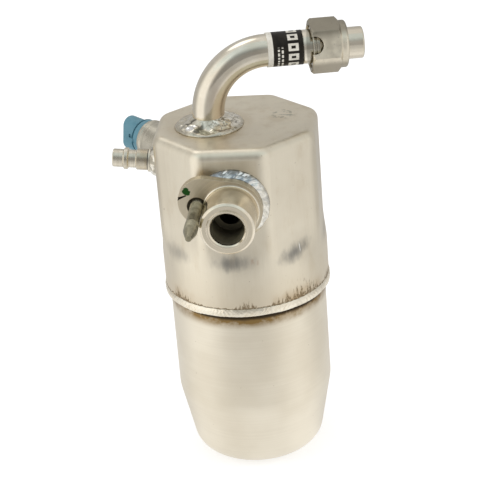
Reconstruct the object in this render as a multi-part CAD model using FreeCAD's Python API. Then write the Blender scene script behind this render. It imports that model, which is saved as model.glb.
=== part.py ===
import FreeCAD, Part
import math
import os

# Accumulator and filter drier of a vehicle's air conditioning: a two-piece welded aluminium can
# with a captive-nut inlet tube, a block outlet with a stud, a charging port and a pressure switch.
# Millimetres, +Z up. The origin is the centre of the can's flat bottom, and the front flat that
# carries the outlet block looks along -Y.

# Can
joint_height = 114.5             # lower edge of the upper shell, where the girth weld runs
skirt_length = 21.5              # round stretch above the joint
swell_length = 24.0              # stretch in which the round skirt turns into eight flats
flat_length = 55.0               # height of the flats up to the top face
skirt_diameter = 100.0
head_across_flats = 95.4
head_corner_radius = 11.0
head_top_radius = 5.6
upper_wall = 3.0
top_wall = 3.0
spigot_step = 0.6                # the lower shell's spigot is this much smaller in radius
shell_clearance = 0.1            # radial, spigot in the skirt
joint_overlap = 14.0             # how far the lower shell reaches up inside the skirt
lower_wall = 2.5
lower_floor = 3.0
taper_height = 44.8              # the lower shell narrows below this height
taper_angle = 11.1               # degrees from the vertical
taper_knee_radius = 25.0
bottom_corner_radius = 13.4
girth_weld_below = 4.3
girth_weld_above = 1.9
girth_weld_proud = 0.7
hole_clearance = 0.1             # radial, any spigot in its hole in a shell

# Inlet tube with its captive nut
tube_diameter = 19.05
tube_wall = 1.6
tube_x = -14.9
tube_y = -3.6
tube_stub = 9.0                  # length inside, below the underside of the top
tube_rise = 6.9                  # straight stretch above the top face, before the bend
tube_bend_radius = 35.2
tube_heading = 12.0              # degrees from +X towards +Y
tube_dip = 1.5                   # degrees that the run points below the horizontal
label_start = 0.4                # along the straight run, from the end of the bend
label_length = 20.8
label_thickness = 0.6          # heat-shrunk sleeve that carries the marking
nut_start = 25.8
nut_length = 21.4
nut_across_flats = 28.0
nut_rotation = 11.0              # degrees that the hexagon is turned about the tube
nut_back_chamfer = 1.3           # on the corners at the tube's end
nut_cup_depth = 7.4              # hollow at the tube's end, round the ferrule
nut_cup_mouth_radius = 12.7
nut_cup_floor_radius = 12.1
nut_notch_radius = 5.2           # round notch in the flat that faces the front
nut_notch_centre = 1.3           # its centre, from the nut's end
nut_back_wall = 2.6
nut_clearance = 0.15             # radial on the tube and axial on its bead
nut_thread_radius = 11.6
nut_rim_radius = 13.8
nut_rim_length = 4.0             # turned round rim at the open end
nut_rim_rounding = 1.4
nut_shoulder_length = 1.8        # cone between the hexagon and the rim
ferrule_start = 21.4             # swollen end of the tube, up to the nut's floor
ferrule_radius = 10.0
ferrule_ring_radius = 11.9       # two rings of the ferrule, inside the nut's cup
ferrule_ring_length = 1.9
ferrule_ring_gap = 0.5
ferrule_ring_start = 0.8         # first ring, from the nut's end
ferrule_waist_radius = 11.0      # between the two rings
bead_radius = 11.3
bead_length = 2.6
pilot_diameter = 18.6
pilot_reach = 9.8                # how far the pilot stands out of the nut
pilot_wall = 1.9
ring_section = 2.0               # inlet O-ring
ring_groove_depth = 1.3
tube_weld_radius = 20.7
tube_weld_lip = 2.0
tube_weld_height = 6.6

# Outlet block on the front flat, with its stud
block_drop = 32.2                # below the top face
block_base_radius = 18.0
block_gap = 4.5                  # between the flat and the back of the lobe
lobe_thickness = 5.0
lobe_x = -15.5
lobe_z = 6.2
lobe_radius = 14.5
neck_radius = 15.6
neck_reach = 35.0                # from the flat to the port's face
neck_root_radius = 1.2
neck_chamfer = 1.3
face_step = 0.8                  # height of the raised sealing ring
face_step_width = 1.1
port_radius = 9.65
port_depth = 22.0
port_mouth_chamfer = 0.9
passage_radius = 6.4
block_spigot_radius = 11.9
block_spigot_length = 8.0
block_weld_toe = 21.6
block_weld_height = 4.2
stud_x = -19.3
stud_z = 3.8
stud_radius = 4.0                # over the thread
stud_shank_radius = 3.75         # plain stretch between the lobe and the thread
stud_thread_start = 34.8         # from the flat
stud_thread_cone = 0.3
stud_reach = 52.5                # from the flat
stud_neck_radius = 4.4           # pressed into the lobe
stud_neck_cone = 0.5             # from the neck down to the shank, above the well's floor
stud_well_radius = 5.5
stud_well_depth = 1.6
dog_radius = 1.8
dog_length = 0.8
dog_taper = 8.5
stud_collar_radius = 5.4
stud_collar_length = 2.2
slit_x = -32.0                   # its end beyond the lobe's edge
slit_z = 8.2
slit_width = 1.0
slit_length = 7.2
slit_depth = 1.4
slit_angle = 19.5                # degrees from +X

# Charging port on the left flat
service_drop = 22.8
service_tilt = 6.0               # degrees that the port points upwards
service_boss_radius = 7.2
service_boss_length = 5.9
service_spigot_radius = 4.4
service_weld_toe = 9.8
service_weld_height = 5.0
service_ring_section = 0.6       # the compressed O-ring shows as a thin dark line
service_ring_radius = 5.9
collar_radius = 6.4
collar_length = 6.4
groove_radius = 5.4
groove_length = 4.9
ridge_radius = 6.5
ridge_length = 3.4
tip_radius = 5.45
tip_length = 6.4
tip_chamfer = 0.8
service_shank_radius = 3.6
service_shank_length = 5.0
core_bore_radius = 2.6
mouth_radius = 4.2
mouth_depth = 5.0
core_clearance = 0.05
core_length = 8.0
core_bore = 1.95
core_web = 1.0
valve_pin_radius = 0.75
valve_pin_clearance = 0.1
valve_pin_reach = 2.2            # tip of the pin beyond the core
valve_collar_radius = 1.7
valve_collar_length = 0.6
valve_collar_drop = 0.9          # from the core's outer end to the collar's outer face
valve_seal_radius = 1.9
valve_seal_length = 1.4
valve_seal_gap = 0.1
spring_wire = 0.4
spring_gap = 0.05                # between the spring and what it presses on
spring_turns = 5

# Pressure switch on the back left flat
switch_drop = 33.2
switch_turn = 8.0                # degrees that the connector is turned about its axis
switch_boss_radius = 10.2
switch_boss_length = 14.0
switch_spigot_radius = 5.9
switch_spigot_length = 6.0
switch_nipple_radius = 5.8
switch_nipple_length = 11.0
switch_port_bore = 2.6
switch_weld_toe = 14.2
switch_weld_height = 5.0
switch_core_radius = 2.55
switch_core_length = 8.0
switch_ring_section = 1.8
socket_clearance = 0.1
socket_depth = 9.4
socket_web = 1.6
socket_web_bore = 1.6
cup_radius = 11.7
cup_rim_radius = 12.2
cup_rim_length = 2.4
cup_wall = 1.3
cup_depth = 12.2
rim_lip = 0.8
diaphragm_radius = 9.6
diaphragm_thickness = 0.4
diaphragm_gap = 0.05
plunger_radius = 1.3
plunger_foot_radius = 3.0
plunger_foot_length = 0.8
plunger_length = 3.6
blade_thickness = 0.3
blade_width = 3.0
blade_gap = 0.75                 # over the plunger's tip, so that it can travel
insulator_length = 3.4
disc_radius = 11.2
disc_length = 6.8
disc_groove_width = 1.5          # round the disc, near the shroud
disc_groove_depth = 1.1
disc_flange = 0.7                # left standing beyond the groove
shroud_neck_length = 1.4
shroud_neck_inset = 1.3
shroud_drop = 0.9                # its centre below the switch's axis
shroud_height = 21.8
shroud_width = 12.0
shroud_rounding = 5.8
shroud_length = 13.5
shroud_wall = 1.6
shroud_depth = 12.0
keyway_width = 2.4
keyway_depth = 0.9
keyway_reach = 7.7               # along the shroud, from its start
keyway_back = 3.6                # into the disc, from its front
terminal_spacing = 7.6
terminal_width = 2.4
terminal_thickness = 0.8
terminal_reach = 9.0

# Inside the can
pickup_diameter = 16.0
pickup_wall = 1.4
pickup_bend_radius = 20.0        # of the bend at the outlet
pickup_insertion = 10.0          # into the outlet block
pickup_run = 2.0                 # straight stretch inside before the first bend
pickup_floor_gap = 12.0
pickup_top_gap = 25.0            # from the top's underside down to the open end
bleed_hole_radius = 0.8
filter_radius = 7.5
filter_wall = 1.2
filter_floor_gap = 2.5
filter_wrap = 3.5                # how far the filter reaches up round the tube
deflector_radius = 14.5
deflector_wall = 1.5
deflector_length = 22.0
deflector_head_gap = 10.0
deflector_clearance = 8.2        # from the deflector to the flat behind it
deflector_rib_length = 8.0
deflector_rib_thickness = 1.4
bag_gap = 0.3
bag_thickness = 19.0
bag_depth = 54.0
bag_height = 100.0
bag_base_height = 52.0
bag_rounding = 8.0
web_height = 40.0
web_gap = 3.0
strap_height = 6.0
strap_thickness = 1.2
strap_gap = 0.1

# Sizes that follow
total_height = joint_height + skirt_length + swell_length + flat_length
swell_top = joint_height + skirt_length + swell_length
swell_base = joint_height + skirt_length
skirt_radius = skirt_diameter / 2
flat_distance = head_across_flats / 2
spigot_radius = skirt_radius - upper_wall - shell_clearance
lower_radius = spigot_radius + spigot_step
top_underside = total_height - top_wall
tube_radius = tube_diameter / 2
pilot_radius = pilot_diameter / 2
pickup_radius = pickup_diameter / 2
lobe_face = block_gap + lobe_thickness
ferrule_end = nut_start + nut_cup_depth - nut_clearance
bead_start = nut_start + nut_cup_depth + nut_back_wall + nut_clearance
port_floor = neck_reach - port_depth

X = FreeCAD.Vector(1, 0, 0)
Y = FreeCAD.Vector(0, 1, 0)
Z = FreeCAD.Vector(0, 0, 1)
BIG = 400.0                      # longer than anything, for cutting tools


def vec(x, y, z=0.0):
    return FreeCAD.Vector(x, y, z)


def rounded_wire(corners):
    """Closed wire in the XY plane; each corner is (x, y) or (x, y, rounding radius)."""
    points = [vec(c[0], c[1]) for c in corners]
    radii = [c[2] if len(c) > 2 else 0.0 for c in corners]
    count = len(points)
    starts, ends, middles = [], [], []
    for i in range(count):
        here, before, after = points[i], points[i - 1], points[(i + 1) % count]
        if radii[i] <= 0:
            starts.append(here)
            ends.append(here)
            middles.append(None)
            continue
        to_before = (before - here).normalize()
        to_after = (after - here).normalize()
        half = to_before.getAngle(to_after) / 2
        cut_back = radii[i] / math.tan(half)
        bisector = (to_before + to_after).normalize()
        starts.append(here + to_before * cut_back)
        ends.append(here + to_after * cut_back)
        middles.append(here + bisector * (radii[i] / math.sin(half) - radii[i]))
    edges = []
    for i in range(count):
        if middles[i] is not None:
            edges.append(Part.Arc(starts[i], middles[i], ends[i]).toShape())
        following = starts[(i + 1) % count]
        if (ends[i] - following).Length > 1e-7:
            edges.append(Part.LineSegment(ends[i], following).toShape())
    return Part.Wire(edges)


def prism(corners, low, high):
    """Straight solid over a rounded outline, from one height to another."""
    face = Part.Face(rounded_wire(corners))
    face.translate(vec(0, 0, low))
    return face.extrude(vec(0, 0, high - low))


def turned(profile):
    """Solid of revolution about Z from a closed profile of (radius, height[, rounding])."""
    face = Part.Face(rounded_wire(profile))
    face.rotate(vec(0, 0), X, 90)
    return face.revolve(vec(0, 0), Z, 360)


def rod(radius, low, high, x=0.0, y=0.0):
    return Part.makeCylinder(radius, high - low, vec(x, y, low), Z)


def block(x_size, y_size, low, high, x=0.0, y=0.0):
    """Box centred on x, y, from one height to another."""
    return Part.makeBox(x_size, y_size, high - low, vec(x - x_size / 2, y - y_size / 2, low))


def placed(origin, outward):
    """Placement whose local Z points outward and whose local Y stays as near upright as it can."""
    outward = vec(outward.x, outward.y, outward.z).normalize()
    across = Z.cross(outward).normalize()
    return FreeCAD.Placement(origin, FreeCAD.Rotation(across, outward.cross(across), outward))


def put(shape, place):
    moved = shape.copy()
    moved.Placement = place.multiply(moved.Placement)
    return moved


def octagon(across_flats, corner_radius):
    corner = across_flats / 2 / math.cos(math.pi / 8)
    angles = [math.pi / 8 + i * math.pi / 4 for i in range(8)]
    return [(corner * math.cos(a), corner * math.sin(a), corner_radius) for a in angles]


def swell_section(distance, corner_radius, radius, share, height):
    """Section between the octagon (share 0) and the circle (share 1), as sixteen arcs."""
    half_flat = distance * math.tan(math.pi / 8) - corner_radius * math.tan(math.pi / 8)
    edge_angle = math.atan2(half_flat, distance)
    corner_reach = (distance - corner_radius) / math.cos(math.pi / 8) + corner_radius
    edge_reach = math.hypot(distance, half_flat)

    def point(angle, reach):
        mixed = reach * (1 - share) + radius * share
        return vec(mixed * math.cos(angle), mixed * math.sin(angle), height)

    edges = []
    for i in range(8):
        middle = i * math.pi / 4
        corner = middle + math.pi / 8
        flat_start = point(middle - edge_angle, edge_reach)
        flat_end = point(middle + edge_angle, edge_reach)
        next_start = point(middle + math.pi / 4 - edge_angle, edge_reach)
        if share == 0:
            edges.append(Part.LineSegment(flat_start, flat_end).toShape())
        else:
            edges.append(Part.Arc(flat_start, point(middle, distance), flat_end).toShape())
        edges.append(Part.Arc(flat_end, point(corner, corner_reach), next_start).toShape())
    return Part.Wire(edges)


def head_form(inset, top, base):
    """Outside (inset 0) or inside of the upper shell: octagon above, round below."""
    distance = flat_distance - inset
    corner_radius = head_corner_radius - inset
    radius = skirt_radius - inset
    top_radius = max(head_top_radius - inset, 0.5)
    head = prism(octagon(2 * distance, corner_radius), swell_top, top)
    rim = [e for e in head.Edges if min(v.Z for v in e.Vertexes) > top - 1e-6]
    head = head.makeFillet(top_radius, rim)
    sections = []
    steps = 6
    for i in range(steps + 1):
        part = i / steps
        share = part * part * (3 - 2 * part)
        height = swell_top - part * swell_length
        sections.append(swell_section(distance, corner_radius, radius, share, height))
    swell = Part.makeLoft(sections, True, False)
    skirt = rod(radius, base, swell_base)
    return head.fuse([swell, skirt]).removeSplitter()


def lower_form(inset, floor, top):
    """Outside (inset 0) or inside of the lower shell, as a solid of revolution."""
    lean = math.radians(taper_angle)
    side = lower_radius - inset
    knee = taper_height + inset * math.tan(lean / 2)
    foot = side - (knee - floor) * math.tan(lean)
    return turned([(0, floor), (foot, floor, bottom_corner_radius - inset),
                   (side, knee, taper_knee_radius), (side, top), (0, top)])


def fillet_weld(inner, toe, height):
    """Convex bead round a boss, standing on the local plane z = 0."""
    leg = toe - inner
    return turned([(inner, 0), (toe, 0, leg * 0.1), (inner + leg * 0.72, height * 0.66, leg * 0.45),
                   (inner, height)])


def bent_tube(points, bend_radii, outer, inner):
    """Tube along straight runs joined by tangent arcs, one radius for each corner."""
    edges = []
    at = points[0]
    for i in range(1, len(points) - 1):
        here = points[i]
        back = (points[i - 1] - here).normalize()
        on = (points[i + 1] - here).normalize()
        half = back.getAngle(on) / 2
        radius = bend_radii[i - 1]
        cut_back = radius / math.tan(half)
        start, end = here + back * cut_back, here + on * cut_back
        middle = here + (back + on).normalize() * (radius / math.sin(half) - radius)
        if (start - at).Length > 1e-6:
            edges.append(Part.LineSegment(at, start).toShape())
        edges.append(Part.Arc(start, middle, end).toShape())
        at = end
    edges.append(Part.LineSegment(at, points[-1]).toShape())
    path = Part.Wire(edges)
    first = (points[1] - points[0]).normalize()
    solids = []
    for section in (outer, inner):
        ring = Part.Wire(Part.makeCircle(section, points[0], first))
        solids.append(path.makePipeShell([ring], True, False))
    return solids[0].cut(solids[1])


# Places of the fittings
front_place = placed(vec(0, -flat_distance, total_height - block_drop), vec(0, -1))
service_lean = math.radians(service_tilt)
service_place = placed(vec(-flat_distance, 0, total_height - service_drop),
                       vec(-math.cos(service_lean), 0, math.sin(service_lean)))
diagonal = flat_distance / math.sqrt(2)
switch_place = placed(vec(-diagonal, diagonal, total_height - switch_drop), vec(-1, 1))
switch_place = switch_place.multiply(FreeCAD.Placement(vec(0, 0), FreeCAD.Rotation(Z, switch_turn)))
heading, dip = math.radians(tube_heading), math.radians(tube_dip)
tube_axis = vec(math.cos(heading) * math.cos(dip), math.sin(heading) * math.cos(dip),
                -math.sin(dip))
tube_turn_length = tube_bend_radius * math.tan((math.pi / 2 + dip) / 2)
tube_corner = vec(tube_x, tube_y, total_height + tube_rise + tube_turn_length)
tube_place = placed(tube_corner + tube_axis * tube_turn_length, tube_axis)

parts = {}


def upper_shell():
    shell = head_form(0.0, total_height, joint_height)
    shell = shell.cut(head_form(upper_wall, top_underside, joint_height))
    through_top = rod(tube_radius + hole_clearance, top_underside - 5, total_height + 5,
                      tube_x, tube_y)
    through_front = rod(block_spigot_radius + hole_clearance, -12, 5)
    through_left = rod(service_spigot_radius + hole_clearance, -12, 5)
    through_back = rod(switch_spigot_radius + hole_clearance, -12, 5)
    return shell.cut([through_top, put(through_front, front_place),
                      put(through_left, service_place), put(through_back, switch_place)])


def lower_shell():
    top = joint_height + joint_overlap
    step = joint_height - girth_weld_below
    above_step = turned([(spigot_radius, step), (skirt_radius, step), (skirt_radius, top + 1),
                         (spigot_radius, top + 1)])
    shell = lower_form(0.0, 0.0, top).cut(above_step)
    return shell.cut(lower_form(lower_wall, lower_floor, top))


def girth_weld():
    outer = skirt_radius + girth_weld_proud
    low, high = joint_height - girth_weld_below, joint_height + girth_weld_above
    return turned([(spigot_radius, low), (lower_radius, low),
                   (outer, low + girth_weld_below * 0.12, 2.0),
                   (outer, high - 0.2, 1.2), (skirt_radius, high), (skirt_radius, joint_height),
                   (spigot_radius, joint_height)])


def inlet_tube():
    bore = tube_radius - tube_wall
    low = vec(tube_x, tube_y, top_underside - tube_stub)
    run_end = tube_corner + tube_axis * (tube_turn_length + bead_start)
    bent = bent_tube([low, tube_corner, run_end], [tube_bend_radius], tube_radius, bore)
    under = tube_radius - 0.5
    low_ring = nut_start + ferrule_ring_start
    high_ring = low_ring + ferrule_ring_length + ferrule_ring_gap
    ferrule = turned([(under, ferrule_start), (ferrule_radius, ferrule_start, 0.3),
                      (ferrule_radius, low_ring),
                      (ferrule_ring_radius - 0.3, low_ring, 0.6),
                      (ferrule_ring_radius - 0.3, low_ring + ferrule_ring_length, 0.4),
                      (ferrule_waist_radius, low_ring + ferrule_ring_length),
                      (ferrule_waist_radius, high_ring), (ferrule_ring_radius, high_ring, 0.4),
                      (ferrule_ring_radius, high_ring + ferrule_ring_length, 0.5),
                      (ferrule_radius, high_ring + ferrule_ring_length),
                      (ferrule_radius, ferrule_end), (under, ferrule_end)])
    bead_end = bead_start + bead_length
    groove_floor = pilot_radius - ring_groove_depth
    groove_end = bead_end + ring_section * 1.25
    pilot_end = nut_start + nut_length + pilot_reach
    pilot_bore = pilot_radius - pilot_wall
    end_form = turned([(pilot_bore, bead_start), (bead_radius, bead_start, 0.6),
                       (bead_radius, bead_end, 0.6), (groove_floor, bead_end),
                       (groove_floor, groove_end), (pilot_radius, groove_end, 0.3),
                       (pilot_radius, pilot_end, 0.9), (pilot_bore, pilot_end, 0.4)])
    return bent.fuse([put(ferrule, tube_place), put(end_form, tube_place)]).removeSplitter()


def inlet_o_ring():
    middle = bead_start + bead_length + ring_section * 0.625
    ring_radius = pilot_radius - ring_groove_depth + ring_section / 2
    ring = Part.makeTorus(ring_radius, ring_section / 2, vec(0, 0, middle), Z)
    return put(ring, tube_place)


def tube_label():
    end = label_start + label_length
    sleeve = rod(tube_radius + label_thickness, label_start, end)
    return put(sleeve.cut(rod(tube_radius, label_start, end)), tube_place)


def tube_weld():
    toe, rise = tube_weld_radius, tube_weld_height
    lens = turned([(tube_radius, 0), (toe, 0), (toe - 0.3, tube_weld_lip * 0.7, 0.5),
                   (toe - 2.2, tube_weld_lip, 1.5), (tube_radius + 4.5, tube_weld_lip + 0.4, 4.0),
                   (tube_radius, rise)])
    lens.translate(vec(tube_x, tube_y, total_height))
    return lens


def coupling_nut():
    end = nut_start + nut_length
    corner = nut_across_flats / math.sqrt(3)
    hexagon = [(corner * math.cos(math.radians(nut_rotation + 60 * i)),
                corner * math.sin(math.radians(nut_rotation + 60 * i))) for i in range(6)]
    body = prism(hexagon, nut_start, end)
    rim_start = end - nut_rim_length
    beyond = corner + 0.1
    turned_form = turned([(0, nut_start), (beyond - nut_back_chamfer, nut_start),
                          (beyond, nut_start + nut_back_chamfer),
                          (beyond, rim_start - nut_shoulder_length),
                          (nut_rim_radius, rim_start), (nut_rim_radius, end, nut_rim_rounding),
                          (0, end)])
    cup_floor_at = nut_start + nut_cup_depth
    cavity_start = cup_floor_at + nut_back_wall
    sleeve = tube_radius + nut_clearance
    cavity = turned([(0, nut_start), (nut_cup_mouth_radius, nut_start),
                     (nut_cup_floor_radius, cup_floor_at), (sleeve, cup_floor_at),
                     (sleeve, cavity_start), (nut_thread_radius, cavity_start),
                     (nut_thread_radius, end - 0.8), (nut_thread_radius + 0.8, end), (0, end)])
    notch = rod(nut_notch_radius, ferrule_radius, corner)
    notch.rotate(vec(0, 0), Y, 90)
    notch.rotate(vec(0, 0), Z, nut_rotation + 150)
    notch.translate(vec(0, 0, nut_start + nut_notch_centre))
    return put(body.common(turned_form).cut([cavity, notch]), tube_place)


def lobed_plate(low, high):
    """Plate round the port with the stud's lobe beside it: two circles and their tangents."""
    gap = math.hypot(lobe_x, lobe_z)
    toward = math.atan2(lobe_z, lobe_x)
    spread = math.acos((block_base_radius - lobe_radius) / gap)

    def on_base(angle):
        return vec(block_base_radius * math.cos(angle), block_base_radius * math.sin(angle))

    def on_lobe(angle):
        return vec(lobe_x + lobe_radius * math.cos(angle), lobe_z + lobe_radius * math.sin(angle))

    edges = [Part.Arc(on_base(toward + spread), on_base(toward + math.pi),
                      on_base(toward - spread)).toShape(),
             Part.LineSegment(on_base(toward - spread), on_lobe(toward - spread)).toShape(),
             Part.Arc(on_lobe(toward - spread), on_lobe(toward), on_lobe(toward + spread)).toShape(),
             Part.LineSegment(on_lobe(toward + spread), on_base(toward + spread)).toShape()]
    face = Part.Face(Part.Wire(edges))
    face.translate(vec(0, 0, low))
    return face.extrude(vec(0, 0, high - low))


def outlet_block():
    face = neck_reach - face_step
    neck = turned([(0, 0), (block_base_radius, 0), (block_base_radius, lobe_face),
                   (neck_radius, lobe_face, neck_root_radius), (neck_radius, face - neck_chamfer),
                   (neck_radius - neck_chamfer, face),
                   (port_radius + port_mouth_chamfer + face_step_width, face),
                   (port_radius + port_mouth_chamfer + face_step_width, neck_reach),
                   (0, neck_reach)])
    solid = neck.fuse([lobed_plate(block_gap, lobe_face),
                       rod(block_spigot_radius, -block_spigot_length, 0)])
    insertion_end = pickup_insertion - block_spigot_length
    bore = turned([(0, -block_spigot_length), (pickup_radius + hole_clearance, -block_spigot_length),
                   (pickup_radius + hole_clearance, insertion_end), (passage_radius, insertion_end),
                   (passage_radius, port_floor), (port_radius, port_floor),
                   (port_radius, neck_reach - port_mouth_chamfer),
                   (port_radius + port_mouth_chamfer, neck_reach), (0, neck_reach)])
    stud_hole = rod(stud_neck_radius, block_gap, lobe_face, stud_x, stud_z)
    stud_seat = rod(stud_collar_radius, block_gap, block_gap + stud_collar_length, stud_x, stud_z)
    well = rod(stud_well_radius, lobe_face - stud_well_depth, lobe_face, stud_x, stud_z)
    slit = Part.makeBox(slit_length, slit_width, slit_depth,
                        vec(0, -slit_width / 2, lobe_face - slit_depth))
    slit.rotate(vec(0, 0), Z, slit_angle)
    slit.translate(vec(slit_x, slit_z))
    solid = solid.cut([bore, stud_hole, stud_seat, well, slit])
    return put(solid.removeSplitter(), front_place)


def block_weld():
    return put(fillet_weld(block_base_radius, block_weld_toe, block_weld_height), front_place)


def block_stud():
    dog_start = stud_reach - dog_length - dog_taper
    well_floor = lobe_face - stud_well_depth
    stud = turned([(0, block_gap), (stud_collar_radius, block_gap),
                   (stud_collar_radius, block_gap + stud_collar_length),
                   (stud_neck_radius, block_gap + stud_collar_length),
                   (stud_neck_radius, well_floor),
                   (stud_shank_radius, well_floor + stud_neck_cone),
                   (stud_shank_radius, stud_thread_start - stud_thread_cone),
                   (stud_radius, stud_thread_start),
                   (stud_radius, dog_start), (dog_radius, dog_start + dog_taper),
                   (dog_radius, stud_reach, 0.3), (0, stud_reach)])
    stud.translate(vec(stud_x, stud_z))
    return put(stud, front_place)


def behind_left_flat():
    """Everything on the can's side of the left flat, for trimming the tilted boss and weld."""
    return Part.makeBox(BIG, BIG, BIG, vec(-flat_distance, -BIG / 2, total_height - BIG / 2))


def service_port_boss():
    bore = rod(service_shank_radius, service_boss_length - service_shank_length,
               service_boss_length)
    boss = put(rod(service_boss_radius, -5, service_boss_length), service_place)
    boss = boss.cut(behind_left_flat())
    spigot = put(rod(service_spigot_radius, -upper_wall - 3, 3), service_place)
    passage = rod(core_bore_radius - 0.4, -upper_wall - 3, service_boss_length)
    return boss.fuse(spigot).cut([put(bore, service_place), put(passage, service_place)])


def service_port_weld():
    start = -2.0
    leg = service_weld_toe - service_boss_radius
    weld = turned([(service_boss_radius, start), (service_weld_toe + 0.4, start),
                   (service_weld_toe, 0.4, 0.6),
                   (service_boss_radius + leg * 0.45, service_weld_height * 0.7, 1.5),
                   (service_boss_radius, service_weld_height)])
    return put(weld, service_place).cut(behind_left_flat())


service_ring_end = service_boss_length + service_ring_section
collar_end = service_ring_end + collar_length
groove_end = collar_end + groove_length
ridge_end = groove_end + ridge_length
tip_end = ridge_end + tip_length
core_end = tip_end - mouth_depth
core_start = core_end - core_length


def service_port_o_ring():
    inner = service_shank_radius
    ring = turned([(inner, service_boss_length), (service_ring_radius, service_boss_length, 0.25),
                   (service_ring_radius, service_ring_end, 0.25), (inner, service_ring_end)])
    return put(ring, service_place)


def service_port_body():
    base = service_boss_length - service_shank_length
    body = turned([(core_bore_radius, base), (service_shank_radius, base),
                   (service_shank_radius, service_ring_end), (collar_radius, service_ring_end),
                   (collar_radius, collar_end, 0.3), (groove_radius, collar_end + 0.6, 0.3),
                   (groove_radius, groove_end, 0.3), (ridge_radius, groove_end + 0.7, 0.4),
                   (ridge_radius, ridge_end - 0.7, 0.4), (tip_radius, ridge_end, 0.3),
                   (tip_radius, tip_end, tip_chamfer), (mouth_radius, tip_end, 0.3),
                   (mouth_radius, core_end), (core_bore_radius, core_end)])
    return put(body, service_place)


def service_valve_core():
    outer = core_bore_radius - core_clearance
    hole = valve_pin_radius + valve_pin_clearance
    shape = turned([(hole, core_start), (outer, core_start), (outer, core_end, 0.3),
                    (core_bore, core_end), (core_bore, core_start + core_web),
                    (hole, core_start + core_web)])
    seal_ring = Part.makeTorus(outer - 0.1, 0.15, vec(0, 0, (core_start + core_end) / 2), Z)
    return put(shape.fuse(seal_ring), service_place)


valve_collar_top = core_end - valve_collar_drop
valve_collar_base = valve_collar_top - valve_collar_length


def service_valve_pin():
    seal_top = core_start - valve_seal_gap
    pin = turned([(0, seal_top - valve_seal_length), (valve_seal_radius, seal_top - valve_seal_length),
                  (valve_seal_radius, seal_top), (valve_pin_radius, seal_top),
                  (valve_pin_radius, valve_collar_base), (valve_collar_radius, valve_collar_base),
                  (valve_collar_radius, valve_collar_top), (valve_pin_radius, valve_collar_top),
                  (valve_pin_radius, core_end + valve_pin_reach, 0.3),
                  (0, core_end + valve_pin_reach)])
    return put(pin, service_place)


def service_valve_spring():
    """Half turns, each a tilted arc that starts and ends level."""
    low = core_start + core_web + spring_gap + spring_wire / 2
    high = valve_collar_base - spring_gap - spring_wire / 2
    radius = core_bore - 0.1 - spring_wire / 2
    rise = (high - low) / (2 * spring_turns)
    half_turns = []
    for i in range(2 * spring_turns):
        side = 1 if i % 2 == 0 else -1
        start = vec(side * radius, 0, low + i * rise)
        middle, axis = vec(0, 0, start.z + rise / 2), vec(side * rise / 2, 0, radius)
        section = Part.Face(Part.Wire(Part.makeCircle(spring_wire / 2, start, Y)))
        half_turns.append(section.revolve(middle, axis, 180))
    return put(half_turns[0].fuse(half_turns[1:]), service_place)


switch_shoulder = switch_boss_length
nipple_end = switch_shoulder + switch_nipple_length
socket_start = switch_shoulder + switch_ring_section
socket_floor = socket_start + socket_depth
cup_floor = socket_floor + socket_web
cup_end = cup_floor + cup_depth


def switch_port():
    port = turned([(switch_port_bore, -switch_spigot_length),
                   (switch_spigot_radius, -switch_spigot_length), (switch_spigot_radius, 0),
                   (switch_boss_radius, 0),
                   (switch_boss_radius, switch_shoulder, 0.8),
                   (switch_nipple_radius, switch_shoulder), (switch_nipple_radius, nipple_end, 0.6),
                   (switch_port_bore, nipple_end)])
    return put(port, switch_place)


def switch_port_weld():
    return put(fillet_weld(switch_boss_radius, switch_weld_toe, switch_weld_height), switch_place)


def switch_port_core():
    start = nipple_end - switch_core_length
    core = turned([(0, start), (switch_core_radius, start), (switch_core_radius, nipple_end - 1.0),
                   (1.0, nipple_end - 1.0), (1.0, nipple_end), (0, nipple_end)])
    return put(core, switch_place)


def switch_o_ring():
    inner = switch_nipple_radius
    outer = inner + switch_ring_section * 1.4
    ring = turned([(inner, switch_shoulder), (outer, switch_shoulder, 0.7),
                   (outer, socket_start, 0.7), (inner, socket_start)])
    return put(ring, switch_place)


def switch_housing():
    socket = switch_nipple_radius + socket_clearance
    inside = cup_radius - cup_wall
    lip = disc_radius - rim_lip
    rim_start = cup_end - cup_rim_length
    cup = turned([(socket, socket_start), (cup_radius, socket_start, 1.0),
                  (cup_radius, rim_start - 0.8, 0.5), (cup_rim_radius, rim_start, 0.4),
                  (cup_rim_radius, cup_end, 0.8), (lip, cup_end),
                  (lip, cup_end - 0.8), (inside, cup_end - 0.8), (inside, cup_floor),
                  (socket_web_bore, cup_floor), (socket_web_bore, socket_floor),
                  (socket, socket_floor)])
    return put(cup, switch_place)


diaphragm_base = cup_floor + diaphragm_gap
diaphragm_top = diaphragm_base + diaphragm_thickness
plunger_tip = diaphragm_top + plunger_length
blade_base = plunger_tip + blade_gap
insulator_base = cup_end - 0.8 - insulator_length


def switch_diaphragm():
    inner_step, outer_step = diaphragm_radius * 0.45, diaphragm_radius * 0.62
    disc = turned([(0, diaphragm_base), (diaphragm_radius, diaphragm_base),
                   (diaphragm_radius, diaphragm_top), (outer_step, diaphragm_top),
                   (outer_step - 0.4, diaphragm_top + 0.15), (inner_step + 0.4, diaphragm_top + 0.15),
                   (inner_step, diaphragm_top), (0, diaphragm_top)])
    return put(disc, switch_place)


def switch_plunger():
    plunger = turned([(0, diaphragm_top), (plunger_foot_radius, diaphragm_top),
                      (plunger_foot_radius, diaphragm_top + plunger_foot_length),
                      (plunger_radius, diaphragm_top + plunger_foot_length),
                      (plunger_radius, plunger_tip, 0.5), (0, plunger_tip)])
    return put(plunger, switch_place)


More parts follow.
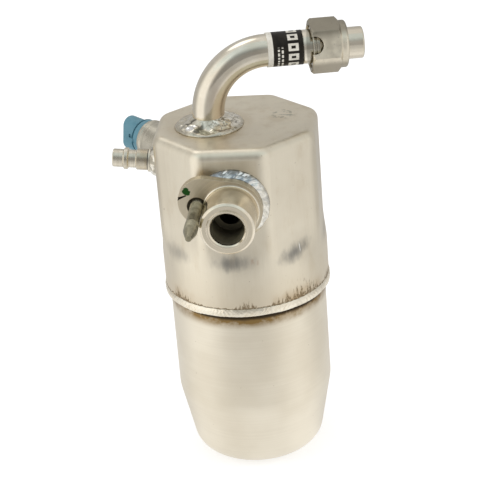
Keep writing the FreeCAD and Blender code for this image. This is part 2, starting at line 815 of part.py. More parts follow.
def switch_contact_blade():
    span = terminal_spacing + terminal_width
    top = blade_base + blade_thickness
    strip = block(blade_width, span, blade_base, top, 0, -shroud_drop)
    foot = block(blade_width, terminal_width, blade_base, insulator_base,
                 0, terminal_spacing / 2 - shroud_drop)
    return put(strip.fuse(foot).removeSplitter(), switch_place)


def rounded_bar(inset, low, high):
    """The shroud's outline, made smaller all round by the inset."""
    half_w, half_h = shroud_width / 2 - inset, shroud_height / 2 - inset
    rounding = shroud_rounding - inset
    bottom, top = -shroud_drop - half_h, -shroud_drop + half_h
    return prism([(half_w, bottom, rounding), (half_w, top, rounding),
                  (-half_w, top, rounding), (-half_w, bottom, rounding)], low, high)


disc_end = cup_end + disc_length
shroud_start = disc_end + shroud_neck_length
shroud_end = shroud_start + shroud_length


def terminal_outline(side):
    return block(terminal_thickness, terminal_width, insulator_base,
                 shroud_end - shroud_depth + terminal_reach, 0,
                 side * terminal_spacing / 2 - shroud_drop)


def switch_connector():
    inside = cup_radius - cup_wall - socket_clearance
    lip = disc_radius - rim_lip - socket_clearance
    disc = turned([(0, insulator_base), (inside, insulator_base),
                   (inside, cup_end - 0.8 - socket_clearance), (lip, cup_end - 0.8 - socket_clearance),
                   (lip, cup_end), (disc_radius, cup_end), (disc_radius, disc_end, 0.9),
                   (0, disc_end)])
    groove_end_at = disc_end - disc_flange
    groove = rod(disc_radius + 1, groove_end_at - disc_groove_width, groove_end_at)
    groove = groove.cut(rod(disc_radius - disc_groove_depth, cup_end, disc_end))
    neck = rounded_bar(shroud_neck_inset, disc_end - 1, shroud_start + 1)
    shroud = rounded_bar(0.0, shroud_start, shroud_end)
    cavity = rounded_bar(shroud_wall, shroud_end - shroud_depth, shroud_end)
    in_disc = block(BIG, keyway_width, disc_end - keyway_back, disc_end,
                    disc_radius - keyway_depth + BIG / 2, -shroud_drop)
    in_shroud = block(BIG, keyway_width, disc_end, shroud_start + keyway_reach,
                      shroud_width / 2 - keyway_depth + BIG / 2, -shroud_drop)
    solid = disc.cut(groove).fuse([neck, shroud])
    solid = solid.cut([cavity, in_disc, in_shroud, terminal_outline(1), terminal_outline(-1)])
    return put(solid.removeSplitter(), switch_place)


def switch_terminal(side):
    return put(terminal_outline(side), switch_place)


pickup_in = -flat_distance + block_spigot_length - pickup_insertion
first_leg_y = -flat_distance + block_spigot_length + pickup_run + pickup_bend_radius
second_leg_y = flat_distance - upper_wall - deflector_clearance - deflector_radius
u_bend_radius = (second_leg_y - first_leg_y) / 2
u_bottom = lower_floor + pickup_floor_gap + pickup_radius
block_height = total_height - block_drop
open_end = top_underside - pickup_top_gap


def pickup_tube():
    points = [vec(0, pickup_in, block_height), vec(0, first_leg_y, block_height),
              vec(0, first_leg_y, u_bottom), vec(0, second_leg_y, u_bottom),
              vec(0, second_leg_y, open_end)]
    middle_y = (first_leg_y + second_leg_y) / 2
    u_bend_margin = 0.002        # keeps a hair of straight run between the two bends of the U
    u_bend = u_bend_radius - u_bend_margin
    tube = bent_tube(points, [pickup_bend_radius, u_bend, u_bend], pickup_radius,
                     pickup_radius - pickup_wall)
    bleed = rod(bleed_hole_radius, u_bottom - pickup_radius - 1, u_bottom, 0, middle_y)
    return tube.cut(bleed)


def oil_filter():
    middle_y = (first_leg_y + second_leg_y) / 2
    low = lower_floor + filter_floor_gap
    high = u_bottom - pickup_radius + filter_wrap
    cup = rod(filter_radius, low, high, 0, middle_y)
    cavity = rod(filter_radius - filter_wall, low + filter_wall, high, 0, middle_y)
    tube_room = Part.makeTorus(u_bend_radius, pickup_radius + 0.05,
                               vec(0, middle_y, u_bottom + u_bend_radius), X)
    return cup.cut([cavity, tube_room])


def deflector():
    high = open_end + deflector_head_gap
    low = high - deflector_length
    inner = deflector_radius - deflector_wall
    cap = turned([(0, high), (0, high - deflector_wall), (inner, high - deflector_wall, 1.0),
                  (inner, low), (deflector_radius, low), (deflector_radius, high, 2.5)])
    ribs = []
    for i in range(3):
        rib = block(deflector_radius, deflector_rib_thickness, low, low + deflector_rib_length,
                    deflector_radius / 2, 0)
        rib.rotate(vec(0, 0), Z, 90 + 120 * i)
        ribs.append(rib.common(rod(inner + 0.2, low, high)))
    solid = cap.fuse(ribs).cut(rod(pickup_radius, low, open_end))
    solid.translate(vec(0, second_leg_y, 0))
    return solid.removeSplitter()


bag_inner = pickup_radius + bag_gap
bag_outer = bag_inner + bag_thickness
bag_middle_y = (first_leg_y + second_leg_y) / 2
bag_top = bag_base_height + bag_height


def desiccant_bag():
    half = bag_depth / 2
    lobes = []
    for side in (-1, 1):
        near, far = side * bag_inner, side * bag_outer
        lobe = prism([(near, bag_middle_y - half, 3.0), (far, bag_middle_y - half, bag_rounding),
                      (far, bag_middle_y + half, bag_rounding), (near, bag_middle_y + half, 3.0)],
                     bag_base_height, bag_top)
        ends = [e for e in lobe.Edges
                if abs(e.BoundBox.ZMax - e.BoundBox.ZMin) < 1e-6]
        lobes.append(lobe.makeFillet(2.8, ends))
    web_half = u_bend_radius - pickup_radius - web_gap
    web = block(2 * bag_inner + 6, 2 * web_half, bag_base_height + 8,
                bag_base_height + 8 + web_height, 0, bag_middle_y)
    return lobes[0].fuse([lobes[1], web])


def bag_strap():
    low = bag_base_height + bag_height * 0.6
    reach_x = bag_outer + strap_gap
    reach_y = max(bag_depth / 2, u_bend_radius + pickup_radius) + strap_gap
    inside = bag_rounding + strap_gap

    def loop(grow):
        x, y, r = reach_x + grow, reach_y + grow, inside + grow
        return prism([(x, bag_middle_y - y, r), (x, bag_middle_y + y, r),
                      (-x, bag_middle_y + y, r), (-x, bag_middle_y - y, r)],
                     low, low + strap_height)

    return loop(strap_thickness).cut(loop(0.0))


parts["upper_shell"] = upper_shell()
parts["lower_shell"] = lower_shell()
parts["girth_weld"] = girth_weld()
parts["inlet_tube"] = inlet_tube()
parts["tube_weld"] = tube_weld()
parts["tube_label"] = tube_label()
parts["inlet_o_ring"] = inlet_o_ring()
parts["coupling_nut"] = coupling_nut()
parts["outlet_block"] = outlet_block()
parts["block_weld"] = block_weld()
parts["block_stud"] = block_stud()
parts["service_port_boss"] = service_port_boss()
parts["service_port_weld"] = service_port_weld()
parts["service_port_o_ring"] = service_port_o_ring()
parts["service_port_body"] = service_port_body()
parts["service_valve_core"] = service_valve_core()
parts["service_valve_pin"] = service_valve_pin()
parts["service_valve_spring"] = service_valve_spring()
parts["switch_port"] = switch_port()
parts["switch_port_weld"] = switch_port_weld()
parts["switch_port_core"] = switch_port_core()
parts["switch_o_ring"] = switch_o_ring()
parts["switch_housing"] = switch_housing()
parts["switch_diaphragm"] = switch_diaphragm()
parts["switch_plunger"] = switch_plunger()
parts["switch_contact_blade"] = switch_contact_blade()
parts["switch_connector"] = switch_connector()
parts["switch_terminal_upper"] = switch_terminal(1)
parts["switch_terminal_lower"] = switch_terminal(-1)
parts["pickup_tube"] = pickup_tube()
parts["oil_filter"] = oil_filter()
parts["deflector"] = deflector()
parts["desiccant_bag"] = desiccant_bag()
parts["bag_strap"] = bag_strap()

os.makedirs("parts", exist_ok=True)
for name, shape in parts.items():
    shape.exportStep("parts/" + name + ".step")
    print(name, "valid" if shape.isValid() else "NOT VALID", len(shape.Solids), "solid",
          round(shape.Volume, 1), "mm3")
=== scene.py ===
import bpy
import math
from mathutils import Matrix, Vector, noise


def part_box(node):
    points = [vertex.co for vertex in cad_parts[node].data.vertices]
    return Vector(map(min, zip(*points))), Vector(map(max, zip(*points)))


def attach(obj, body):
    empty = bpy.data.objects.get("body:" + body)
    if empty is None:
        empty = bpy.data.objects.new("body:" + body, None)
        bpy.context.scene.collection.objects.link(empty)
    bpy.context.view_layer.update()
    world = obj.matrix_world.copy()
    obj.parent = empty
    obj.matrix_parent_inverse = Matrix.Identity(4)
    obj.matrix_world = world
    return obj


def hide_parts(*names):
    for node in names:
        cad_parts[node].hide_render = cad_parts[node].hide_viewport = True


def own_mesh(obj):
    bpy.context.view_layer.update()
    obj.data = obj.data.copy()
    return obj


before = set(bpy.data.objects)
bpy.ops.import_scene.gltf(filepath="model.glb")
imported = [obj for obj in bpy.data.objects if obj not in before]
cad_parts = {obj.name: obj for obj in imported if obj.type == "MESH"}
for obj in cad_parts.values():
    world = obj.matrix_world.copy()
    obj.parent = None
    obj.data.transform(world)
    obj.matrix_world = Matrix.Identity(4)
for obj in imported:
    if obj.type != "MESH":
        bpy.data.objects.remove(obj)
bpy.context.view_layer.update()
scene = bpy.context.scene
scene.view_settings.view_transform = "Standard"
MM = 0.001

# Places that repeat the part's own values, in millimetres
SKIRT_RADIUS = 50.0
LOWER_RADIUS = 47.5
BEAD_LOW = 110.2
BEAD_HIGH = 116.4
TOP = 215.0
TUBE_FOOT = Vector((-14.9, -3.6, TOP))
TUBE_START = Vector((20.4321, 3.9101, 257.0879))
TUBE_AXIS = Vector((0.97781, 0.20784, -0.02618)).normalized()
TUBE_RADIUS = 9.525
BLOCK_FOOT = Vector((0.0, -47.7, 182.8))
BLOCK_RADIUS = 18.0
STUD = Vector((-19.3, -47.7, 186.6))
STUD_RADIUS = 4.0
SLIT = Vector((-32.0, -57.2, 191.0))
SLIT_ANGLE = math.radians(19.5)
SERVICE_FOOT = Vector((-47.7, 0.0, 192.2))
SERVICE_AXIS = Vector((-0.994522, 0.0, 0.104528))
SWITCH_FOOT = Vector((-33.7290, 33.7290, 181.8))
SWITCH_AXIS = Vector((-1.0, 1.0, 0.0)).normalized()
FRONT = Vector((0.0, -1.0, 0.0))
TOP_MARKS = Vector((28.0, 9.4, TOP))
PAINT_DAB = Vector((-24.6, -57.2, 195.9))
TUBE_WELD_DROP = TUBE_FOOT + Vector((-9.4, -12.0, 2.5))


# Camera, fitted to the photograph

def make_camera():
    """The photograph's own view: lens, shift, place and directions as they were fitted."""
    data = bpy.data.cameras.new("camera")
    data.sensor_width = 36.0
    data.lens = 128.56
    data.shift_x = -0.0107
    data.shift_y = 0.0084
    data.clip_start = 0.05
    data.clip_end = 60.0
    camera = bpy.data.objects.new("camera", data)
    scene.collection.objects.link(camera)
    right = Vector((0.99410, 0.08049, -0.07264))
    up = Vector((0.03089, 0.43195, 0.90137))
    back = Vector((0.10393, -0.89830, 0.42692))
    place = Vector((108.53, -938.07, 580.77)) * MM
    turn = Matrix((right, up, back)).transposed().to_4x4()
    camera.matrix_world = Matrix.Translation(place) @ turn
    scene.camera = camera


# Shaders

class Nodes:
    """Short names for the usual nodes of one node tree."""

    def __init__(self, tree):
        self.tree = tree
        self.tree.nodes.clear()

    def add(self, kind, **settings):
        node = self.tree.nodes.new(kind)
        for key, value in settings.items():
            setattr(node, key, value)
        return node

    def feed(self, socket, value):
        if isinstance(value, bpy.types.NodeSocket):
            self.tree.links.new(value, socket)
        else:
            socket.default_value = value

    def parts_of(self, vector):
        apart = self.add("ShaderNodeSeparateXYZ")
        self.tree.links.new(vector, apart.inputs[0])
        return apart.outputs[0], apart.outputs[1], apart.outputs[2]

    def joined(self, x, y, z):
        together = self.add("ShaderNodeCombineXYZ")
        for socket, value in zip(together.inputs, (x, y, z)):
            self.feed(socket, value)
        return together.outputs[0]

    def math(self, operation, *values):
        node = self.add("ShaderNodeMath", operation=operation)
        for socket, value in zip(node.inputs, values):
            self.feed(socket, value)
        return node.outputs[0]

    def sum(self, *values):
        total = values[0]
        for value in values[1:]:
            total = self.math("ADD", total, value)
        return total

    def product(self, *values):
        total = values[0]
        for value in values[1:]:
            total = self.math("MULTIPLY", total, value)
        return total

    def vector(self, operation, *values):
        node = self.add("ShaderNodeVectorMath", operation=operation)
        for socket, value in zip(node.inputs, values):
            self.feed(socket, value)
        return node.outputs["Value"] if operation in ("DOT_PRODUCT", "LENGTH") else node.outputs[0]

    def ramp(self, value, low, high, start=0.0, end=1.0):
        """Smooth step of value from low to high, mapped to start and end."""
        node = self.add("ShaderNodeMapRange", interpolation_type="SMOOTHSTEP")
        for socket, number in zip(node.inputs, (value, low, high, start, end)):
            self.feed(socket, number)
        return node.outputs[0]

    def mix(self, factor, first, second):
        node = self.add("ShaderNodeMix", data_type="RGBA")
        self.feed(node.inputs[0], factor)
        self.feed(node.inputs[6], first)
        self.feed(node.inputs[7], second)
        return node.outputs[2]

    def blend(self, factor, first, second):
        node = self.add("ShaderNodeMix", data_type="FLOAT")
        for socket, value in zip((node.inputs[0], node.inputs[2], node.inputs[3]), (factor, first, second)):
            self.feed(socket, value)
        return node.outputs[0]


class Recipe(Nodes):
    """A node material around one Principled shader."""

    def __init__(self, name):
        self.material = bpy.data.materials.new(name)
        self.material.use_nodes = True
        super().__init__(self.material.node_tree)
        self.shader = self.add("ShaderNodeBsdfPrincipled")
        output = self.add("ShaderNodeOutputMaterial")
        self.tree.links.new(self.shader.outputs[0], output.inputs[0])
        self.place = self.add("ShaderNodeTexCoord").outputs["Object"]
        self.x, self.y, self.z = self.parts_of(self.place)

    def stretched(self, x, y, z):
        return self.vector("MULTIPLY", self.place, (x, y, z))

    def noise(self, vector, scale=1.0, detail=3.0, roughness=0.55):
        node = self.add("ShaderNodeTexNoise")
        self.feed(node.inputs["Vector"], vector)
        self.feed(node.inputs["Scale"], scale)
        self.feed(node.inputs["Detail"], detail)
        self.feed(node.inputs["Roughness"], roughness)
        return node.outputs[0]

    def from_axis(self, foot, axis):
        """Distance from an axis and distance along it, in metres."""
        relative = self.vector("SUBTRACT", self.place, tuple(foot * MM))
        along = self.vector("DOT_PRODUCT", relative, tuple(axis))
        length = self.vector("LENGTH", relative)
        squared = self.math("SUBTRACT", self.product(length, length), self.product(along, along))
        return self.math("SQRT", self.math("MAXIMUM", squared, 0.0)), along

    def distance(self, point):
        return self.vector("LENGTH", self.vector("SUBTRACT", self.place, tuple(point * MM)))

    def degrees_round(self):
        """Angle round the can, -180 to 180, with the front at -90."""
        return self.product(self.math("ARCTAN2", self.y, self.x), 180 / math.pi)

    def near(self, value, middle, half):
        """One at the middle, fading out to zero at half either side."""
        return self.ramp(self.math("ABSOLUTE", self.math("SUBTRACT", value, middle)), half, half * 0.35)

    def bump(self, height, depth, edge=0.0):
        """Fine relief, over edges that look rounded by that radius."""
        node = self.add("ShaderNodeBump")
        self.feed(node.inputs["Height"], height)
        if edge > 0.0:
            soft = self.add("ShaderNodeBevel", samples=6)
            soft.inputs["Radius"].default_value = edge
            self.feed(node.inputs["Normal"], soft.outputs[0])
        node.inputs["Strength"].default_value = 1.0
        node.inputs["Distance"].default_value = depth
        self.tree.links.new(node.outputs[0], self.shader.inputs["Normal"])

    def done(self, colour, roughness, metallic=1.0):
        self.feed(self.shader.inputs["Base Color"], colour)
        self.feed(self.shader.inputs["Roughness"], roughness)
        self.shader.inputs["Metallic"].default_value = metallic
        return self.material


def rgb(red, green, blue):
    return (red, green, blue, 1.0)


PALE = rgb(0.86, 0.79, 0.645)
WARM = rgb(0.775, 0.70, 0.56)
SCORCH = rgb(0.20, 0.135, 0.065)
BEAD_SHADOW = rgb(0.045, 0.032, 0.02)
RUNOUT_SHADE = rgb(0.30, 0.285, 0.255)
STAIN = rgb(0.60, 0.485, 0.32)


def with_runout_shade(r, colour, turn, streak):
    """Painted shade where each flat runs out into the round skirt, darkest on the right, in rougher
    patches.

    The flats are numbered round the can: 5 at the front left, 6 in front, 7 at the front right.
    """
    middle_height, half_height, half_width = 0.1463, 0.0058, 0.33
    degrees_each, first_half = 45.0, 8.5
    share = r.math("ADD", r.math("DIVIDE", turn, degrees_each), first_half)
    flat_number = r.math("FLOOR", share)
    across = r.math("SUBTRACT", r.math("FRACT", share), 0.44)
    lean = r.product(across, r.ramp(flat_number, 6.2, 6.8, -0.001, -0.0077))
    rise = r.math("SUBTRACT", r.sum(r.z, lean), middle_height)
    wide = r.math("DIVIDE", across, half_width)
    high = r.math("DIVIDE", rise, half_height)
    reach = r.math("SQRT", r.sum(r.product(wide, wide), r.product(high, high)))
    ragged = r.noise(r.stretched(230, 230, 110), detail=3)
    spread = r.sum(reach, r.product(ragged, 1.1), -0.55)
    # Painted shade: a dark grey patch where each flat runs out, which also roughens it
    runout_shade = r.product(r.ramp(spread, 1.25, 0.05), r.ramp(flat_number, 5.2, 6.0, 0.52, 0.95),
                       r.ramp(flat_number, 7.3, 7.7, 1.0, 0.35),
                       r.ramp(streak, 0.3, 0.6, 0.80, 1.0))
    colour = r.mix(runout_shade, colour, RUNOUT_SHADE)
    # A trace of rust beside the middle patch of painted shade and a bright nick in the right one
    rust = r.product(r.near(turn, -78.0, 3.4), r.near(r.z, 0.1460, 0.0028), r.ramp(ragged, 0.38, 0.55))
    colour = r.mix(r.product(rust, 0.5), colour, rgb(0.42, 0.24, 0.14))
    nick = r.product(r.near(turn, -42.9, 0.45), r.near(r.z, 0.1478, 0.0034))
    return r.mix(nick, colour, rgb(0.95, 0.93, 0.86)), runout_shade


def with_scorch(r, colour, turn, cloud):
    """Warm cast of the skirt, and brown specks that reach up from the girth weld in patches."""
    above = r.math("SUBTRACT", r.z, BEAD_HIGH * MM)
    colour = r.mix(r.product(r.ramp(above, 0.030, 0.0, 0.0, 0.45), r.ramp(cloud, 0.4, 0.62, 0.4, 1.0)),
                   colour, rgb(0.70, 0.59, 0.42))
    anywhere = r.ramp(r.noise(r.stretched(34, 34, 0), detail=1), 0.45, 0.62)
    patch = r.sum(r.near(turn, -138.0, 14.0), r.product(r.near(turn, -86.0, 9.0), 0.5),
                  r.near(turn, -50.0, 22.0), r.product(anywhere, 0.8), 0.15)
    drip = r.noise(r.stretched(560, 560, 100), detail=3, roughness=0.65)
    glow = r.product(r.ramp(above, 0.0100, 0.0, 0.0, 0.75), r.math("MINIMUM", patch, 1.0),
                     r.ramp(r.noise(r.stretched(90, 90, 60), detail=3), 0.40, 0.60, 0.2, 1.0))
    colour = r.mix(glow, colour, rgb(0.50, 0.36, 0.20))
    reach_up = r.product(patch, r.ramp(drip, 0.38, 0.70, 0.0004, 0.0068))
    speckle = r.noise(r.place, scale=900, detail=2)
    tint = r.product(r.ramp(r.math("DIVIDE", above, reach_up), 1.15, 0.35, 0.0, 0.80),
                     r.ramp(speckle, 0.36, 0.52, 0.30, 1.0))
    return r.mix(tint, colour, SCORCH), tint


def with_top_stains(r, colour, cloud):
    """Stains on the top face: a brown rim round the tube's weld and a group of grey marks."""
    on_top = r.ramp(r.z, 0.2146, 0.2149)
    ring = r.math("SUBTRACT", r.distance(TUBE_FOOT), 0.0205)
    rim = r.product(on_top, r.ramp(ring, 0.0085, 0.0, 0.0, 0.55), r.ramp(cloud, 0.40, 0.60, 0.25, 1.0))
    colour = r.mix(rim, colour, STAIN)
    wash = r.ramp(r.noise(r.place, scale=60, detail=3), 0.52, 0.68, 0.0, 0.30)
    colour = r.mix(r.product(on_top, wash), colour, STAIN)
    marks = r.product(on_top, r.ramp(r.distance(TOP_MARKS), 0.0095, 0.005),
                      r.ramp(r.noise(r.place, scale=330, detail=3), 0.50, 0.60))
    return r.mix(r.product(marks, 0.55), colour, rgb(0.27, 0.26, 0.19))


def upper_shell_material():
    """Drawn aluminium with fine upright streaks, the marks of welding and handling, and painted shade where
    the flats run out.
    """
    r = Recipe("shell_drawn")
    streak = r.noise(r.stretched(260, 260, 7), detail=4)
    fine = r.noise(r.stretched(1400, 1400, 30), detail=2)
    cloud = r.noise(r.place, scale=26, detail=3)
    tone = r.sum(r.product(streak, 0.27), r.product(cloud, 0.63), r.product(fine, 0.10))
    colour = r.mix(r.ramp(tone, 0.32, 0.68), WARM, PALE)
    turn = r.degrees_round()
    colour, runout_shade = with_runout_shade(r, colour, turn, streak)
    colour, tint = with_scorch(r, colour, turn, cloud)
    colour = with_top_stains(r, colour, cloud)
    # Faint stains and small dark specks
    stain = r.noise(r.stretched(120, 120, 50), detail=4, roughness=0.65)
    colour = r.mix(r.ramp(stain, 0.50, 0.74, 0.0, 0.22), colour, STAIN)
    speck = r.noise(r.place, scale=560, detail=1)
    colour = r.mix(r.ramp(speck, 0.765, 0.80, 0.0, 0.4), colour, SCORCH)
    roughness = r.sum(r.ramp(streak, 0.25, 0.75, 0.33, 0.42), r.product(runout_shade, 0.10), r.product(tint, 0.2))
    r.bump(r.sum(r.product(streak, 0.35), r.product(fine, 0.15), cloud), 0.00004)
    return r.done(colour, roughness)


def lower_shell_material():
    """Aluminium brushed round its axis, heated brown under the girth weld, with a painted shadow line right
    under the bead.
    """
    r = Recipe("shell_brushed")
    brush = r.noise(r.stretched(9, 9, 1500), detail=3, roughness=0.6)
    band = r.noise(r.stretched(7, 7, 260), detail=2)
    cloud = r.noise(r.place, scale=20, detail=3)
    tone = r.sum(r.product(brush, 0.18), r.product(band, 0.10), r.product(cloud, 0.72))
    colour = r.mix(r.ramp(tone, 0.34, 0.66), WARM, rgb(0.88, 0.81, 0.67))
    # Brown halo and a dark line right under the weld, thicker in front and on the right; the dark line is
    # painted shadow under the bead's step
    below = r.math("SUBTRACT", BEAD_LOW * MM, r.z)
    turn = r.degrees_round()
    drip = r.noise(r.stretched(300, 300, 90), detail=3, roughness=0.65)
    region = r.noise(r.stretched(55, 55, 70), detail=4, roughness=0.7)
    heavy = r.sum(0.55, r.product(r.near(turn, -65.0, 75.0), 0.45))
    halo = r.product(r.ramp(below, 0.0102, 0.0010, 0.0, 1.9), r.ramp(region, 0.34, 0.62, 0.45, 1.0),
                     heavy)
    colour = r.mix(halo, colour, rgb(0.29, 0.185, 0.07))
    reach_down = r.product(heavy, r.ramp(drip, 0.35, 0.7, 0.0020, 0.0042))
    tint = r.ramp(r.math("DIVIDE", below, reach_down), 1.25, 0.45, 0.0, 0.85)
    colour = r.mix(tint, colour, SCORCH)
    # Painted shadow: near-black line right under the bead
    colour = r.mix(r.ramp(r.math("DIVIDE", below, heavy), 0.0034, 0.0014, 0.0, 0.95), colour, BEAD_SHADOW)
    speck = r.noise(r.place, scale=480, detail=1)
    colour = r.mix(r.ramp(speck, 0.785, 0.82, 0.0, 0.35), colour, SCORCH)
    roughness = r.sum(r.ramp(brush, 0.3, 0.7, 0.31, 0.38), r.product(tint, 0.2))
    r.bump(r.sum(brush, r.product(band, 0.5)), 0.000022)
    return r.done(colour, roughness)


def weld_base(name, dirt):
    """What the round welds share: recipe, colour, lumps and roughness."""
    r = Recipe(name)
    lump = r.noise(r.place, scale=330, detail=3)
    cloud = r.noise(r.place, scale=90, detail=2)
    colour = r.mix(r.ramp(lump, 0.35, 0.7), rgb(0.70, 0.645, 0.53), rgb(0.93, 0.88, 0.77))
    colour = r.mix(r.ramp(cloud, 0.54, 0.74, 0.0, dirt), colour, STAIN)
    return r, colour, lump, r.ramp(cloud, 0.3, 0.7, 0.10, 0.22)


def small_weld():
    """The two small ports' welds, with painted shade in a few folds and painted highlights between them."""
    r, colour, lump, roughness = weld_base("weld_bright", 0.25)
    fold = r.noise(r.place, scale=240, detail=2)
    # Painted shade in the folds and painted highlights between them
    colour = r.mix(r.ramp(fold, 0.50, 0.57, 0.0, 0.75), colour, rgb(0.30, 0.275, 0.22))
    colour = r.mix(r.ramp(fold, 0.44, 0.38), colour, rgb(0.98, 0.96, 0.90))
    r.bump(r.sum(lump, r.product(fold, 2.0)), 0.00010)
    return r.done(colour, roughness)


def crinkled_weld():
    """The tube's weld: painted shade in fine creases over its right half, smooth on the left with painted
    shade over that side.
    """
    r, colour, lump, roughness = weld_base("weld_crinkled", 0.30)
    aside = r.vector("SUBTRACT", r.place, tuple(TUBE_FOOT * MM))
    there = r.ramp(r.vector("DOT_PRODUCT", aside, (0.85, 0.5, 0.0)), -0.010, 0.000, 0.15, 1.0)
    crease = r.math("ABSOLUTE", r.math("SUBTRACT", r.noise(r.place, scale=210, detail=3), 0.5))
    # Painted shade in the creases on the right half
    colour = r.mix(r.product(r.ramp(crease, 0.034, 0.004), there, 0.85), colour, rgb(0.24, 0.215, 0.165))
    # Painted shade over the left side
    colour = r.mix(r.math("SUBTRACT", 0.45, r.product(there, 0.45)), colour, rgb(0.52, 0.48, 0.38))
    # Painted highlight on the drop in front on the left, with painted shade in the hollows round it
    drop = r.distance(TUBE_WELD_DROP)
    patchy = r.noise(r.place, scale=230, detail=2)
    hollows = r.product(r.near(drop, 0.0056, 0.0026), r.ramp(patchy, 0.44, 0.54))
    colour = r.mix(r.product(hollows, 0.88), colour, rgb(0.13, 0.12, 0.095))
    colour = r.mix(r.ramp(drop, 0.0040, 0.0024), colour, rgb(1.0, 0.99, 0.96))
    away = r.distance(TUBE_FOOT)
    rim = r.ramp(away, 0.0180, 0.0192, 0.0, 0.7)
    colour = r.mix(rim, colour, rgb(0.56, 0.51, 0.41))
    r.bump(r.sum(lump, r.product(r.ramp(crease, 0.0, 0.05), there, 0.8)), 0.00012)
    return r.done(colour, r.sum(roughness, r.product(rim, 0.15)))


def folded_weld():
    """The block's weld: folds that cross the bead at a slant, with painted blue-grey reflection, painted
    dark reflection and painted highlights strongest on its upper left, and a painted shadow along its upper
    outer edge.
    """
    r, colour, lump, roughness = weld_base("weld_folded", 0.25)
    aside = r.vector("SUBTRACT", r.place, tuple(BLOCK_FOOT * MM))
    x, _, z = r.parts_of(aside)
    turn = r.math("ARCTAN2", z, x)
    away = r.math("SQRT", r.sum(r.product(x, x), r.product(z, z)))
    slanted = r.sum(r.product(turn, 6.5), r.product(away, 420.0))
    fold = r.noise(r.joined(slanted, r.product(away, 260.0), 0.0), detail=2)
    upper = r.ramp(r.sum(z, r.product(x, -0.6)), -0.004, 0.014, 0.25, 1.0)
    # Painted blue-grey reflection over the upper part
    colour = r.mix(r.product(upper, 0.8), colour, rgb(0.71, 0.755, 0.765))
    # Painted shadow along the upper outer edge
    outer_edge_shadow = r.product(r.ramp(away, 0.0188, 0.0202),
                           r.ramp(r.sum(z, r.product(x, -0.25)), 0.010, 0.016))
    broken = r.ramp(r.noise(r.place, scale=300, detail=2), 0.36, 0.52, 0.35, 1.0)
    colour = r.mix(r.product(outer_edge_shadow, broken, 0.85), colour, rgb(0.17, 0.165, 0.15))
    # Painted dark reflection in the folds and painted highlights between them
    colour = r.mix(r.product(r.ramp(fold, 0.50, 0.58), upper, 0.85), colour, rgb(0.27, 0.30, 0.33))
    colour = r.mix(r.product(r.ramp(fold, 0.42, 0.36), upper), colour, rgb(0.98, 0.97, 0.93))
    r.bump(r.sum(lump, r.product(fold, 3.0)), 0.00016)
    return r.done(colour, roughness)


def girth_material():
    """Smooth light band with fine scratches that slant up to the right, and a painted shadow along its
    lower edge.
    """
    r = Recipe("weld_girth")
    round_m = r.product(r.math("ARCTAN2", r.y, r.x), SKIRT_RADIUS * MM)
    slanted = r.math("SUBTRACT", round_m, r.product(r.z, 0.9))
    scratch = r.noise(r.joined(r.product(slanted, 1500.0), r.product(r.z, 60.0), 0.0), detail=2)
    cloud = r.noise(r.place, scale=70, detail=3)
    colour = r.mix(r.ramp(r.sum(r.product(scratch, 0.5), r.product(cloud, 0.5)), 0.38, 0.62),
                   rgb(0.87, 0.765, 0.59), rgb(0.99, 0.925, 0.78))
    colour = r.mix(r.ramp(cloud, 0.58, 0.74, 0.0, 0.35), colour, SCORCH)
    # Painted shadow along the bead's lower edge
    low_edge = r.math("SUBTRACT", r.z, BEAD_LOW * MM)
    colour = r.mix(r.ramp(low_edge, 0.0009, 0.0, 0.0, 0.85), colour, BEAD_SHADOW)
    r.bump(r.sum(scratch, cloud), 0.00006)
    return r.done(colour, r.ramp(cloud, 0.3, 0.7, 0.22, 0.34))


def tube_material():
    """Bright drawn tube with a warm side low down and a duller machined end."""
    r = Recipe("tube_drawn")
    cloud = r.noise(r.place, scale=45, detail=3)
    fine = r.noise(r.place, scale=700, detail=2)
    colour = r.mix(r.ramp(cloud, 0.35, 0.65), rgb(0.76, 0.69, 0.56), rgb(0.88, 0.82, 0.70))
    scratch = r.noise(r.stretched(150, 2600, 2600), detail=1)
    colour = r.mix(r.ramp(scratch, 0.66, 0.72, 0.0, 0.22), colour, rgb(0.45, 0.40, 0.31))
    # Warm cast on the side away from the bend, low down
    cast = r.product(r.ramp(r.z, 0.256, 0.226), r.ramp(r.x, -0.0150, -0.0085, 0.0, 0.75))
    colour = r.mix(cast, colour, rgb(0.62, 0.51, 0.39))
    colour = r.mix(r.ramp(r.x, 0.060, 0.064, 0.0, 0.45), colour, rgb(0.62, 0.55, 0.43))
    # Painted shade on the tube inside the nut, seen through its notch
    hidden = r.product(r.ramp(r.x, 0.0440, 0.0452), r.ramp(r.x, 0.0600, 0.0590))
    colour = r.mix(r.product(hidden, 0.7), colour, rgb(0.33, 0.31, 0.25))
    r.bump(r.sum(cloud, r.product(fine, 0.2)), 0.00007)
    return r.done(colour, r.ramp(cloud, 0.3, 0.7, 0.12, 0.18))


def nut_material():
    """Turned nut, with painted shade on its upper and lower flats."""
    r = Recipe("nut_machined")
    _, along = r.from_axis(TUBE_START, TUBE_AXIS)
    cut = r.math("SINE", r.product(along, 2 * math.pi / 0.00055))
    cloud = r.noise(r.place, scale=150, detail=3)
    colour = r.mix(r.ramp(cloud, 0.3, 0.7), rgb(0.71, 0.645, 0.515), rgb(0.90, 0.825, 0.67))
    height = r.math("SUBTRACT", r.z, TUBE_START.z * MM)
    # Painted shade on the upper and lower flats
    colour = r.mix(r.ramp(height, 0.006, 0.011, 0.0, 0.85), colour, rgb(0.29, 0.26, 0.20))
    colour = r.mix(r.ramp(height, -0.005, -0.010, 0.0, 0.80), colour, rgb(0.32, 0.285, 0.22))
    grime = r.noise(r.place, scale=800, detail=1)
    colour = r.mix(r.ramp(grime, 0.68, 0.74, 0.0, 0.5), colour, rgb(0.24, 0.21, 0.15))
    r.bump(r.sum(r.product(cut, 0.12), cloud), 0.00005, 0.0009)
    return r.done(colour, r.ramp(cloud, 0.3, 0.7, 0.34, 0.44))


